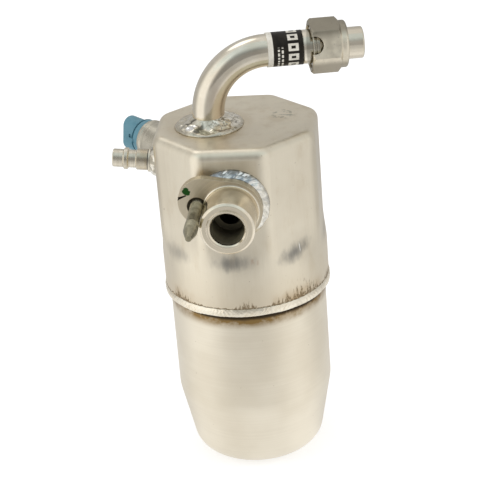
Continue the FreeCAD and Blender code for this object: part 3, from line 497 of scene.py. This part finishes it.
def with_hollow_shade(r, colour, away, along):
    """Painted shade round the stud's foot and in the slit, and inside the port: darker at the top and with
    its depth, lighter on its lower wall.
    """
    stud_away, _ = r.from_axis(STUD, FRONT)
    well = r.product(r.ramp(stud_away, 0.0059, 0.0053), r.ramp(along, 0.0097, 0.0094))
    aside = r.vector("SUBTRACT", r.place, tuple(SLIT * MM))
    run, rise = math.cos(SLIT_ANGLE), math.sin(SLIT_ANGLE)
    down_slit = r.vector("DOT_PRODUCT", aside, (run, 0.0, rise))
    off_slit = r.math("ABSOLUTE", r.vector("DOT_PRODUCT", aside, (-rise, 0.0, run)))
    half_width = r.ramp(down_slit, 0.0, 0.0070, 0.00105, 0.00045)
    slit = r.product(r.ramp(r.math("DIVIDE", off_slit, half_width), 1.25, 0.85),
                     r.ramp(down_slit, 0.0080, 0.0073), r.ramp(along, 0.0070, 0.0078),
                     r.ramp(away, 0.0190, 0.0200))
    # Painted shade in the well round the stud's foot and in the cut slit
    colour = r.mix(r.math("MAXIMUM", well, slit), colour, rgb(0.06, 0.048, 0.032))
    # Painted shade inside the port, lighter on its lower wall and darker deeper in
    inside = r.product(r.ramp(away, 0.00995, 0.00975), r.ramp(along, 0.0338, 0.0325))
    bore_shade = r.mix(r.ramp(r.z, 0.1780, 0.1870), rgb(0.90, 0.83, 0.62), rgb(0.14, 0.128, 0.095))
    bore_shade = r.mix(r.ramp(along, 0.0270, 0.0140, 0.0, 0.9), bore_shade, rgb(0.035, 0.031, 0.023))
    return r.mix(r.product(inside, 0.95), colour, bore_shade), inside


def with_paint_dab(r, colour, along):
    """Dab of inspection paint on the lobe's face."""
    edge = r.sum(r.distance(PAINT_DAB), r.product(r.noise(r.place, scale=420), 0.0028))
    dab = r.product(r.ramp(edge, 0.0039, 0.0034), r.ramp(along, 0.0090, 0.0094))
    return r.mix(dab, colour, rgb(0.025, 0.095, 0.02))


def block_material():
    """Machined port and neck, and a lobe that keeps the duller skin of the raw bar."""
    r = Recipe("block_machined")
    away, along = r.from_axis(BLOCK_FOOT, FRONT)
    ring = r.noise(r.product(away, 2400.0), detail=2)
    cloud = r.noise(r.place, scale=110, detail=4)
    colour = r.mix(r.ramp(cloud, 0.33, 0.68), rgb(0.76, 0.68, 0.54), rgb(0.92, 0.84, 0.69))
    colour = r.mix(r.product(r.ramp(along, 0.0335, 0.0340), 0.8), colour, rgb(0.83, 0.74, 0.58))
    on_lobe = r.product(r.ramp(away, 0.0158, 0.0168), r.ramp(along, 0.0101, 0.0097))
    dull = r.mix(r.ramp(ring, 0.4, 0.6), rgb(0.60, 0.52, 0.385), rgb(0.72, 0.64, 0.48))
    colour = r.mix(r.product(on_lobe, 0.9), colour, dull)
    colour, inside = with_hollow_shade(r, colour, away, along)
    colour = with_paint_dab(r, colour, along)
    r.bump(r.sum(r.product(ring, 0.7), cloud), 0.00005, 0.0005)
    roughness = r.sum(r.ramp(cloud, 0.3, 0.7, 0.14, 0.22), r.product(on_lobe, 0.20),
                      r.product(inside, 0.33))
    return r.done(colour, roughness)


def turned_material(name, foot, axis, dark, light, rough, stained=(0.0, 0.0)):
    """Lathe-cut metal with rings round its axis, browner between the two stained heights."""
    r = Recipe(name)
    _, along = r.from_axis(foot, axis)
    line = r.noise(r.product(along, 2200.0), detail=2)
    cloud = r.noise(r.place, scale=160, detail=3)
    colour = r.mix(r.ramp(r.sum(r.product(line, 0.6), r.product(cloud, 0.4)), 0.36, 0.64), dark, light)
    if stained[1] > stained[0]:
        start, end = stained[0] * MM, stained[1] * MM
        edge = 0.0002
        span = r.product(r.ramp(along, start - edge, start + edge), r.ramp(along, end + edge, end - edge))
        colour = r.mix(r.product(span, r.ramp(cloud, 0.42, 0.62, 0.25, 0.85)),
                       colour, rgb(0.52, 0.44, 0.31))
    r.bump(line, 0.00003)
    return r.done(colour, r.ramp(cloud, 0.3, 0.7, *rough))


def stud_material():
    """Dull plated steel, darker towards the tip."""
    r = Recipe("stud_dull")
    cloud = r.noise(r.place, scale=260, detail=4, roughness=0.7)
    _, along = r.from_axis(STUD, FRONT)
    colour = r.mix(r.ramp(cloud, 0.32, 0.68), rgb(0.30, 0.275, 0.19), rgb(0.50, 0.465, 0.34))
    colour = r.mix(r.ramp(along, 0.0440, 0.0500, 0.0, 0.5), colour, rgb(0.27, 0.235, 0.155))
    r.bump(cloud, 0.00006)
    return r.done(colour, r.ramp(cloud, 0.3, 0.7, 0.34, 0.50), metallic=0.9)


def connector_material():
    """Blue moulded plastic with a fine grain."""
    r = Recipe("connector_blue")
    grain = r.noise(r.place, scale=1500, detail=2)
    cloud = r.noise(r.place, scale=120, detail=2)
    colour = r.mix(r.ramp(cloud, 0.3, 0.7), rgb(0.082, 0.215, 0.275), rgb(0.105, 0.25, 0.315))
    r.bump(grain, 0.00004)
    return r.done(colour, r.ramp(cloud, 0.3, 0.7, 0.36, 0.48), metallic=0.0)


def plain_material(name, dark, light, rough, metallic=0.0, scale=300):
    """Slightly uneven material for the small parts, between two colours and two roughnesses."""
    r = Recipe(name)
    cloud = r.noise(r.place, scale=scale, detail=3)
    colour = r.mix(r.ramp(cloud, 0.3, 0.7), dark, light)
    r.bump(cloud, 0.00005)
    return r.done(colour, r.ramp(cloud, 0.3, 0.7, *rough), metallic=metallic)


def label_material():
    """Dark sleeve with a pale end band and a row of plain blocks and short dashes."""
    r = Recipe("label_sleeve")
    side = Vector((-0.20791, 0.97815, 0.0))
    above = TUBE_AXIS.cross(side)
    relative = r.vector("SUBTRACT", r.place, tuple(TUBE_START * MM))
    along = r.product(r.vector("DOT_PRODUCT", relative, tuple(TUBE_AXIS)), 1000.0)
    turn = r.math("ARCTAN2", r.vector("DOT_PRODUCT", relative, tuple(above)),
                  r.vector("DOT_PRODUCT", relative, tuple(side)))
    round_mm = r.product(turn, TUBE_RADIUS + 0.6)

    def stripes(value, pitch, width, shift):
        """One where value lies inside a bar of that width, repeated at that pitch."""
        phase = r.math("FRACT", r.math("ADD", r.math("DIVIDE", value, pitch), shift + 50.0))
        centred = r.math("ABSOLUTE", r.math("SUBTRACT", phase, 0.5))
        half = width / pitch / 2
        return r.ramp(centred, half + 0.02, half - 0.02)

    def between(value, low, high):
        return r.product(r.ramp(value, low - 0.15, low + 0.15), r.ramp(value, high + 0.15, high - 0.15))

    band = r.ramp(along, 3.6, 3.3)
    blocks = r.product(between(along, 12.2, 18.2), stripes(round_mm, 6.4, 4.4, 0.1))
    hollow = r.product(between(along, 13.9, 16.5), stripes(round_mm, 6.4, 1.7, 0.1))
    blocks = r.math("MAXIMUM", r.math("SUBTRACT", blocks, hollow), 0.0)
    dash = r.product(between(along, 6.0, 7.1), stripes(round_mm, 2.1, 1.2, 0.4))
    other = r.product(between(along, 8.2, 9.3), stripes(round_mm, 2.9, 1.9, 0.0))
    low_side = r.ramp(r.math("SINE", r.math("ADD", turn, 0.35)), 0.1, -0.05)
    small = r.product(r.math("MAXIMUM", dash, other), low_side)
    wear = r.noise(r.place, scale=900, detail=3)
    ink = r.product(r.math("MAXIMUM", blocks, small), r.ramp(wear, 0.30, 0.40, 0.55, 1.0))
    mask = r.math("MAXIMUM", band, ink)
    cloud = r.noise(r.place, scale=200, detail=3)
    black = r.mix(r.ramp(cloud, 0.3, 0.7), rgb(0.008, 0.006, 0.004), rgb(0.018, 0.015, 0.010))
    white = r.mix(r.ramp(cloud, 0.3, 0.7), rgb(0.60, 0.57, 0.50), rgb(0.72, 0.70, 0.63))
    r.bump(cloud, 0.00006)
    r.shader.inputs["Specular IOR Level"].default_value = 0.2
    return r.done(r.mix(mask, black, white), r.ramp(cloud, 0.3, 0.7, 0.30, 0.42), metallic=0.0)


def cloth_material():
    """Pale woven cloth."""
    r = Recipe("bag_cloth")
    weave = r.product(r.math("SINE", r.product(r.y, 5200.0)), r.math("SINE", r.product(r.z, 5200.0)))
    cloud = r.noise(r.place, scale=140, detail=3)
    colour = r.mix(r.ramp(cloud, 0.3, 0.7), rgb(0.66, 0.64, 0.58), rgb(0.80, 0.79, 0.74))
    r.bump(r.sum(r.product(weave, 0.5), cloud), 0.00012)
    return r.done(colour, 0.85, metallic=0.0)


# Mesh pieces

def mesh_piece(name, points, faces, material, slot, *nodes):
    """A smooth mesh, given in millimetres, that stands for CAD nodes on the can's body."""
    mesh = bpy.data.meshes.new(name)
    mesh.from_pydata([tuple(p * MM) for p in points], [], faces)
    mesh.validate()
    mesh.polygons.foreach_set("use_smooth", [True] * len(mesh.polygons))
    mesh.materials.append(material)
    piece = bpy.data.objects.new(name, mesh)
    scene.collection.objects.link(piece)
    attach(piece, "can")
    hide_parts(*nodes)
    return piece


def closed_grid(columns, rows, point):
    """Points and faces of a ring whose section is itself a closed line."""
    points = [point(i / columns, j / rows) for i in range(columns) for j in range(rows)]
    faces = []
    for i in range(columns):
        for j in range(rows):
            a = i * rows + j
            b = i * rows + (j + 1) % rows
            c = (i + 1) % columns * rows + (j + 1) % rows
            d = (i + 1) % columns * rows + j
            faces.append((a, b, c, d))
    return points, faces


def lathe_grid(columns, stations, point):
    """Points and faces of a capped bar: station 0 and the last one close onto the axis."""
    points, faces = [], []
    for j in range(stations):
        points += [point(i / columns, j) for i in range(columns)]
    for j in range(stations - 1):
        for i in range(columns):
            k = (i + 1) % columns
            faces.append((j * columns + i, j * columns + k, (j + 1) * columns + k, (j + 1) * columns + i))
    faces.append(tuple(reversed(range(columns))))
    last = (stations - 1) * columns
    faces.append(tuple(range(last, last + columns)))
    return points, faces


def frame_along(axis):
    """Two directions square to an axis: across and up."""
    across = Vector((0, 0, 1)).cross(axis)
    across = across.normalized() if across.length > 1e-6 else Vector((1, 0, 0))
    return across, axis.cross(across)


def wander(place, scale, seed):
    """Smooth wandering value, the same on every run."""
    return noise.noise(place * scale + Vector((seed, 1.7 * seed, -2.3 * seed)))


def weld_bead(name, node, foot, axis, material, inner, toe, height, ripple, lumps, pitch, seed, sink=0.4):
    """Fillet weld round a boss: a crowned section with crescent ripples that follow the torch."""
    across, up = frame_along(axis)
    ripples = round(2 * math.pi * toe / pitch)
    columns, rows = int(2 * math.pi * toe / pitch) * 9, 26
    outer_share = 0.7                # of the section's line, from the toe up to the boss
    crown_power = 0.62
    lean_out, lean_up = 0.55, 0.83   # how a swell of the surface splits between radius and height

    def point(u, v):
        angle = 2 * math.pi * u
        direction = across * math.cos(angle) + up * math.sin(angle)
        spot = foot + direction * toe
        if v < outer_share:
            t = v / outer_share
            crown = math.sin(math.pi * t)
            skew = 0.42 * math.cos(math.pi * (t - 0.5)) + 0.1 * wander(spot, 0.4, seed)
            wave = math.sin(2 * math.pi * (u * ripples + skew))
            lump = wander(spot + axis * (3 * t), 0.33, seed) + 0.5 * wander(spot, 0.9, seed + 4)
            swell = crown * (ripple * wave + lumps * lump)
            edge = (1 - t) * 0.55 * lumps * wander(spot, 0.25, seed + 9)
            radius = toe + (inner - toe) * t + lean_out * swell + edge
            rise = max(height * t ** crown_power + lean_up * swell, -sink * (1 - t))
        else:
            t = (v - outer_share) / (1 - outer_share)
            if t < 0.5:
                radius, rise = inner - 0.3, height * (1 - 2 * t) - sink * 2 * t
            else:
                radius = inner - 0.3 + (toe - 0.3 - inner) * (2 * t - 1)
                rise = -sink
        return foot + direction * radius + axis * rise

    points, faces = closed_grid(columns, rows, point)
    mesh_piece(name, points, faces, material, "weld_aluminium", node)


def girth_bead(material):
    """Bead between the two shells: a low crown with fine slanting ripples."""
    columns, rows, ripples = 900, 22, 120
    outer_share = 0.72
    low_blend = 1.1                  # height over which the crown steps out to the skirt's radius
    back_edge = (BEAD_LOW + BEAD_HIGH) / 2 + 1.6
    step = SKIRT_RADIUS - LOWER_RADIUS

    def point(u, v):
        angle = 2 * math.pi * u
        direction = Vector((math.cos(angle), math.sin(angle), 0))
        spot = direction * SKIRT_RADIUS
        if v < outer_share:
            t = v / outer_share
            z = BEAD_LOW + (BEAD_HIGH - BEAD_LOW) * t
            crown = max(0.0, math.sin(math.pi * min(1.0, t * 1.02))) ** (0.55 if t < 0.5 else 0.95)
            base = LOWER_RADIUS + step * min(1.0, (z - BEAD_LOW) / low_blend)
            wave = math.sin(2 * math.pi * (u * ripples + 4.6 * (t - 0.35) ** 2))
            lump = wander(spot + Vector((0, 0, z)), 0.8, 5.0)
            radius = base + crown * (0.58 + 0.05 * wave + 0.16 * lump)
            z += 0.45 * wander(spot, 0.09, 3.0) * (1 - t) + 0.35 * wander(spot, 0.5, 7.0) * t
        else:
            t = (v - outer_share) / (1 - outer_share)
            if t < 0.3:
                radius = SKIRT_RADIUS - 0.3 - step * t / 0.3
                z = back_edge
            else:
                radius = LOWER_RADIUS - 0.2
                z = BEAD_HIGH - 0.3 - (BEAD_HIGH - BEAD_LOW - 0.5) * t
        return direction * radius + Vector((0, 0, z))

    points, faces = closed_grid(columns, rows, point)
    mesh_piece("girth_bead", points, faces, material, "weld_aluminium", "girth_weld")


def hump(turn, turn_middle, turn_width, t, t_middle, t_width):
    """Round hill on a bead, placed by the turn and by the share of the way in from the toe."""
    return math.exp(-((turn - turn_middle) / turn_width) ** 2 - ((t - t_middle) / t_width) ** 2)


def tube_bead(material):
    """Wide puddle round the tube's foot: a lens with broad waves that climbs the tube."""
    columns, rows = 540, 40
    toe = 20.7
    outer_share = 0.78

    def point(u, v):
        angle = 2 * math.pi * u
        direction = Vector((math.cos(angle), math.sin(angle), 0))
        if v < outer_share:
            t = v / outer_share
            radius = toe + (TUBE_RADIUS - 0.2 - toe) * t
            lens = 1.7 * min(1.0, t / 0.14) ** 0.6
            climb = 4.9 * max(0.0, (t - 0.20) / 0.80) ** 2.3
            spot = direction * radius
            weight = math.sin(math.pi * min(1.0, t * 1.05)) ** 0.8
            lump = wander(spot, 0.13, 11.0) + 0.40 * wander(spot, 0.34, 13.0)
            drop = hump(angle, 4.05, 0.42, t, 0.42, 0.22)
            mound = hump(angle, 6.0, 0.5, t, 0.62, 0.30)
            rise = max(lens + climb + weight * 1.5 * lump + 1.3 * drop + 1.5 * mound, 0.02)
            radius += 0.8 * (1 - t) * wander(direction * 9, 0.25, 17.0)
        else:
            t = (v - outer_share) / (1 - outer_share)
            radius = TUBE_RADIUS - 0.4 + (toe - 0.8 - TUBE_RADIUS) * max(0.0, 2 * t - 1)
            rise = 6.0 * max(0.0, 1 - 2 * t) - 0.4
        return TUBE_FOOT + direction * radius + Vector((0, 0, rise))

    points, faces = closed_grid(columns, rows, point)
    mesh_piece("tube_bead", points, faces, material, "weld_aluminium", "tube_weld")


def threaded_stud(material):
    """The stud: a plain shank, a faint rolled thread beyond the port's face and a long dog point."""
    pitch, columns = 1.25, 48
    thread_start, thread_end = 34.8, 43.2
    steps = int((thread_end - thread_start) / (pitch / 10))
    profile = [(5.4, 4.5), (5.4, 6.7), (4.4, 6.7), (4.4, 7.9), (3.75, 8.4), (3.75, 34.5)]
    profile += [(STUD_RADIUS, thread_start + i * pitch / 10) for i in range(steps + 1)]
    profile += [(3.35, 46.0), (2.83, 48.0), (2.3, 50.0), (1.8, 51.7), (1.8, 52.3), (1.5, 52.5)]
    across, up = frame_along(FRONT)

    def point(u, j):
        radius, along = profile[j]
        if radius == STUD_RADIUS:
            tooth = abs(2 * ((along / pitch - u) % 1.0) - 1)
            depth = 0.26 * min(1.0, (along - thread_start) / 3, (thread_end - along) / 1.5 + 0.2)
            radius -= max(0.0, depth) * (1 - tooth)
        angle = 2 * math.pi * u
        return STUD + (across * math.cos(angle) + up * math.sin(angle)) * radius + FRONT * along

    points, faces = lathe_grid(columns, len(profile), point)
    mesh_piece("stud_threaded", points, faces, material, "stud_steel", "block_stud")


def valve_spring(material):
    """The charging port's spring as a true coil. The real spring shortens while its pin is pressed in;
    nothing here moves it.
    """
    low, high, radius, wire = 15.85, 20.85, 1.65, 0.2
    turns, steps, columns = 5, 24, 10
    across, up = frame_along(SERVICE_AXIS)

    def point(u, j):
        share = j / (turns * steps)
        turn = 2 * math.pi * turns * share
        outward = across * math.cos(turn) + up * math.sin(turn)
        centre = SERVICE_FOOT + outward * radius + SERVICE_AXIS * (low + (high - low) * share)
        angle = 2 * math.pi * u
        return centre + (outward * math.cos(angle) - SERVICE_AXIS * math.sin(angle)) * wire

    points, faces = lathe_grid(columns, turns * steps + 1, point)
    piece = mesh_piece("valve_spring_coil", points, faces, material, "spring_steel", "service_valve_spring")
    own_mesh(piece)


def stuffed_lobe(low, high, side):
    """One lobe of the bag: a dimpled pillow, kept a little smaller than the CAD bag's half."""
    columns, rows = 64, 48
    gap, fill = 8.6, 0.96            # half the room for the pickup tube, and the share of the size
    near, far = gap * side, high.x * side
    centre = Vector(((near + far) / 2, (low.y + high.y) / 2, (low.z + high.z) / 2))
    half = Vector((abs(far - near) / 2, (high.y - low.y) / 2, (high.z - low.z) / 2))

    def boxy(value, power):
        return math.copysign(abs(value) ** power, value)

    def point(u, j):
        lift, turn = math.pi * (j / rows - 0.5), 2 * math.pi * u
        ring = abs(math.cos(lift)) ** 0.35
        x = boxy(math.cos(turn), 0.6) * ring
        y = boxy(math.sin(turn), 0.45) * ring
        z = boxy(math.sin(lift), 0.6)
        spot = centre + Vector((x * half.x, y * half.y, z * half.z)) * fill
        dimple = 0.35 * wander(spot, 0.55, 21.0) + 0.5 * wander(spot, 0.12, 23.0)
        return spot + Vector((x, y, z)).normalized() * dimple

    return lathe_grid(columns, rows + 1, point)


def cloth_web(low, high):
    """The cloth between the two lobes: a thin sheet that sags a little in the middle."""
    steps, strips = 14, 10
    width, height, rise, half_thick, deepest = 21.0, 38.0, 9.0, 1.2, 0.8
    middle = (low.y + high.y) / 2
    points = []
    for i in range(steps + 1):
        x = width * (i / steps - 0.5)
        sag = deepest * math.sin(math.pi * i / steps)
        for j in range(strips + 1):
            z = low.z + rise + height * j / strips
            points.append(Vector((x, middle - half_thick - sag, z)))
            points.append(Vector((x, middle + half_thick - sag, z)))

    def index(i, j, k):
        return (i * (strips + 1) + j) * 2 + k

    faces = []
    for i in range(steps):
        for j in range(strips):
            faces.append((index(i, j, 0), index(i, j + 1, 0), index(i + 1, j + 1, 0), index(i + 1, j, 0)))
            faces.append((index(i, j, 1), index(i + 1, j, 1), index(i + 1, j + 1, 1), index(i, j + 1, 1)))
    for i in range(steps):
        faces.append((index(i, 0, 0), index(i + 1, 0, 0), index(i + 1, 0, 1), index(i, 0, 1)))
        faces.append((index(i, strips, 0), index(i, strips, 1), index(i + 1, strips, 1),
                      index(i + 1, strips, 0)))
    for j in range(strips):
        faces.append((index(0, j, 0), index(0, j, 1), index(0, j + 1, 1), index(0, j + 1, 0)))
        faces.append((index(steps, j, 0), index(steps, j + 1, 0), index(steps, j + 1, 1),
                      index(steps, j, 1)))
    return points, faces


def saddle_bag(material):
    """Two stuffed lobes, one each side of the pickup tube, joined by a cloth web."""
    low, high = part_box("desiccant_bag")
    low, high = Vector(low) / MM, Vector(high) / MM
    points, faces = [], []
    for spots, corners in (stuffed_lobe(low, high, -1), stuffed_lobe(low, high, 1), cloth_web(low, high)):
        faces += [tuple(len(points) + corner for corner in face) for face in corners]
        points += spots
    piece = mesh_piece("desiccant_saddle_bag", points, faces, material, "bag_fabric", "desiccant_bag")


# Light, floor and world

LAMP_TARGET = Vector((0.0, 0.0, 0.14))


def area_light(name, place, size, power):
    """Soft lamp that metal doesn't mirror: what metal shows comes from the studio's own levels."""
    data = bpy.data.lights.new(name, "AREA")
    data.shape = "RECTANGLE"
    data.size, data.size_y = size
    data.energy = power
    lamp = bpy.data.objects.new(name, data)
    scene.collection.objects.link(lamp)
    lamp.location = place
    lamp.rotation_euler = (LAMP_TARGET - Vector(place)).to_track_quat("-Z", "Y").to_euler()
    lamp.visible_glossy = False


def around(n, sideways, forward, front, left, right, behind, box_edge):
    """Brightness round the horizon: in front, in the soft boxes beside it, and behind."""
    boxes = n.blend(n.ramp(sideways, -0.3, 0.3), left, right)
    ahead = n.blend(n.ramp(forward, 0.985, box_edge), front, boxes)
    return n.blend(n.ramp(forward, 0.32, -0.35), ahead, behind)


def make_world():
    """A white studio. Metal mirrors soft boxes at the sides, a grey front and a bright spot above."""
    front, left, right, behind, box_edge = 0.30, 1.12, 0.88, 0.53, 0.78
    overhead, spot, lighting, backdrop = 0.76, 1.0, 0.72, 1.0
    world = bpy.data.worlds.new("studio")
    scene.world = world
    world.use_nodes = True
    n = Nodes(world.node_tree)
    direction = n.add("ShaderNodeTexCoord").outputs["Generated"]
    x, y, z = n.parts_of(direction)
    level = n.math("SQRT", n.math("MAXIMUM", n.math("SUBTRACT", 1.0, n.product(z, z)), 0.01))
    sideways = n.math("DIVIDE", x, level)
    forward = n.math("DIVIDE", n.product(y, -1.0), level)
    walls = around(n, sideways, forward, front, left, right, behind, box_edge)
    mirrored = n.blend(n.ramp(z, 0.50, 0.93), walls, overhead)
    skylight = n.vector("DOT_PRODUCT", direction, tuple(Vector((-0.36, 0.40, 0.84)).normalized()))
    mirrored = n.sum(mirrored, n.ramp(skylight, 0.955, 0.985, 0.0, spot))
    path = n.add("ShaderNodeLightPath")
    glossy = n.math("MAXIMUM", path.outputs["Is Glossy Ray"], path.outputs["Is Transmission Ray"])
    strength = n.blend(path.outputs["Is Camera Ray"], n.blend(glossy, lighting, mirrored), backdrop)
    cool = n.product(n.ramp(z, 0.30, 0.70), n.ramp(forward, -0.1, 0.6), glossy)
    background = n.add("ShaderNodeBackground")
    n.feed(background.inputs["Color"], n.mix(cool, rgb(1.0, 0.995, 0.985), rgb(0.90, 1.0, 1.04)))
    n.feed(background.inputs["Strength"], strength)
    output = n.add("ShaderNodeOutputWorld")
    n.feed(output.inputs[0], background.outputs[0])


def make_floor():
    """White floor that takes the part's shadow, with its own brightness where metal mirrors it."""
    mesh = bpy.data.meshes.new("floor")
    size = 9.0
    mesh.from_pydata([(-size, -size, 0), (size, -size, 0), (size, size, 0), (-size, size, 0)], [],
                     [(0, 1, 2, 3)])
    floor = bpy.data.objects.new("floor", mesh)
    scene.collection.objects.link(floor)
    material = bpy.data.materials.new("floor_white")
    material.use_nodes = True
    n = Nodes(material.node_tree)
    diffuse = n.add("ShaderNodeBsdfDiffuse")
    diffuse.inputs["Color"].default_value = rgb(0.62, 0.62, 0.62)
    lift = n.add("ShaderNodeEmission")
    lift.inputs["Strength"].default_value = 0.55
    shaded = n.add("ShaderNodeAddShader")
    n.feed(shaded.inputs[0], diffuse.outputs[0])
    n.feed(shaded.inputs[1], lift.outputs[0])
    # Seen in metal, the floor is bright near the part and beside it, and falls off in front
    place = n.add("ShaderNodeTexCoord").outputs["Object"]
    away = n.vector("LENGTH", place)
    x, y, _ = n.parts_of(n.vector("NORMALIZE", place))
    front = n.sum(n.ramp(away, 0.06, 0.24, 0.92, 0.72), n.ramp(away, 0.30, 0.56, 0.0, -0.20))
    box_edge = n.ramp(away, 0.25, 0.42, 0.52, 0.78)
    left = n.ramp(away, 0.20, 0.50, 1.01, 1.12)
    right = n.ramp(away, 0.20, 0.55, 1.01, 0.82)
    behind = n.ramp(away, 0.20, 0.50, 0.80, 0.52)
    mirrored = n.add("ShaderNodeEmission")
    n.feed(mirrored.inputs["Strength"], around(n, x, n.product(y, -1.0), front, left, right, behind,
                                                box_edge))
    choice = n.add("ShaderNodeMixShader")
    n.feed(choice.inputs[0], n.add("ShaderNodeLightPath").outputs["Is Glossy Ray"])
    n.feed(choice.inputs[1], shaded.outputs[0])
    n.feed(choice.inputs[2], mirrored.outputs[0])
    n.feed(n.add("ShaderNodeOutputMaterial").inputs[0], choice.outputs[0])
    mesh.materials.append(material)


def dress(name, material):
    """Give a CAD node its material."""
    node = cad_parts[name]
    node.data.materials.clear()
    node.data.materials.append(material)


make_camera()
make_world()
make_floor()
area_light("left_box", (-1.3, -0.5, 1.0), size=(1.0, 1.4), power=6.0)
area_light("right_box", (1.4, -0.4, 0.9), size=(1.0, 1.4), power=6.0)
area_light("top_box", (-0.1, 0.3, 1.6), size=(1.1, 1.1), power=3.5)

port_weld = small_weld()
steel_service = turned_material("service_turned", SERVICE_FOOT, SERVICE_AXIS, rgb(0.60, 0.545, 0.43),
                                rgb(0.84, 0.78, 0.66), rough=(0.20, 0.30), stained=(6.5, 12.9))
steel_switch = turned_material("switch_turned", SWITCH_FOOT, SWITCH_AXIS, rgb(0.49, 0.455, 0.37),
                               rgb(0.68, 0.635, 0.53), rough=(0.24, 0.36))
bright_boss = turned_material("boss_turned", SWITCH_FOOT, SWITCH_AXIS, rgb(0.64, 0.585, 0.47),
                              rgb(0.82, 0.76, 0.63), rough=(0.24, 0.36))
brass = plain_material("valve_brass", rgb(0.50, 0.35, 0.13), rgb(0.70, 0.52, 0.24),
                       rough=(0.24, 0.36), metallic=1.0)
contact = plain_material("contact_tinned", rgb(0.50, 0.44, 0.30), rgb(0.70, 0.64, 0.48),
                         rough=(0.24, 0.36), metallic=1.0)
spring = plain_material("spring_wire", rgb(0.45, 0.45, 0.44), rgb(0.62, 0.62, 0.60),
                        rough=(0.22, 0.34), metallic=1.0)
rubber = plain_material("seal_rubber", rgb(0.012, 0.012, 0.012), rgb(0.03, 0.03, 0.028),
                        rough=(0.45, 0.6))
nylon = plain_material("nylon_white", rgb(0.62, 0.61, 0.56), rgb(0.72, 0.71, 0.66),
                       rough=(0.4, 0.52))
pickup = plain_material("pickup_tube", rgb(0.62, 0.60, 0.55), rgb(0.76, 0.74, 0.69),
                        rough=(0.26, 0.36), metallic=1.0, scale=60)

dress("upper_shell", upper_shell_material())
dress("lower_shell", lower_shell_material())
dress("inlet_tube", tube_material())
dress("tube_label", label_material())
dress("coupling_nut", nut_material())
dress("outlet_block", block_material())
dress("switch_connector", connector_material())
dress("service_port_boss", bright_boss)
dress("switch_port", bright_boss)
dress("service_port_body", steel_service)
dress("switch_housing", steel_switch)
for name in ("inlet_o_ring", "service_port_o_ring", "switch_o_ring"):
    dress(name, rubber)
for name in ("service_valve_core", "service_valve_pin", "switch_port_core"):
    dress(name, brass)
for name in ("switch_contact_blade", "switch_terminal_upper", "switch_terminal_lower"):
    dress(name, contact)
dress("switch_diaphragm", spring)
for name in ("switch_plunger", "oil_filter", "deflector", "bag_strap"):
    dress(name, nylon)
dress("pickup_tube", pickup)

girth_bead(girth_material())
tube_bead(crinkled_weld())
weld_bead("block_bead", "block_weld", BLOCK_FOOT, FRONT, folded_weld(), inner=BLOCK_RADIUS, toe=21.8,
          height=4.3, ripple=0.11, lumps=0.4, pitch=5.0, seed=1.0)
weld_bead("service_bead", "service_port_weld", SERVICE_FOOT, SERVICE_AXIS, port_weld, inner=7.2, toe=9.9,
          height=4.9, ripple=0.10, lumps=0.4, pitch=4.0, seed=31.0, sink=0.9)
weld_bead("switch_bead", "switch_port_weld", SWITCH_FOOT, SWITCH_AXIS, port_weld, inner=10.2, toe=14.3,
          height=4.9, ripple=0.11, lumps=0.45, pitch=4.5, seed=41.0)
threaded_stud(stud_material())
valve_spring(spring)
saddle_bag(cloth_material())
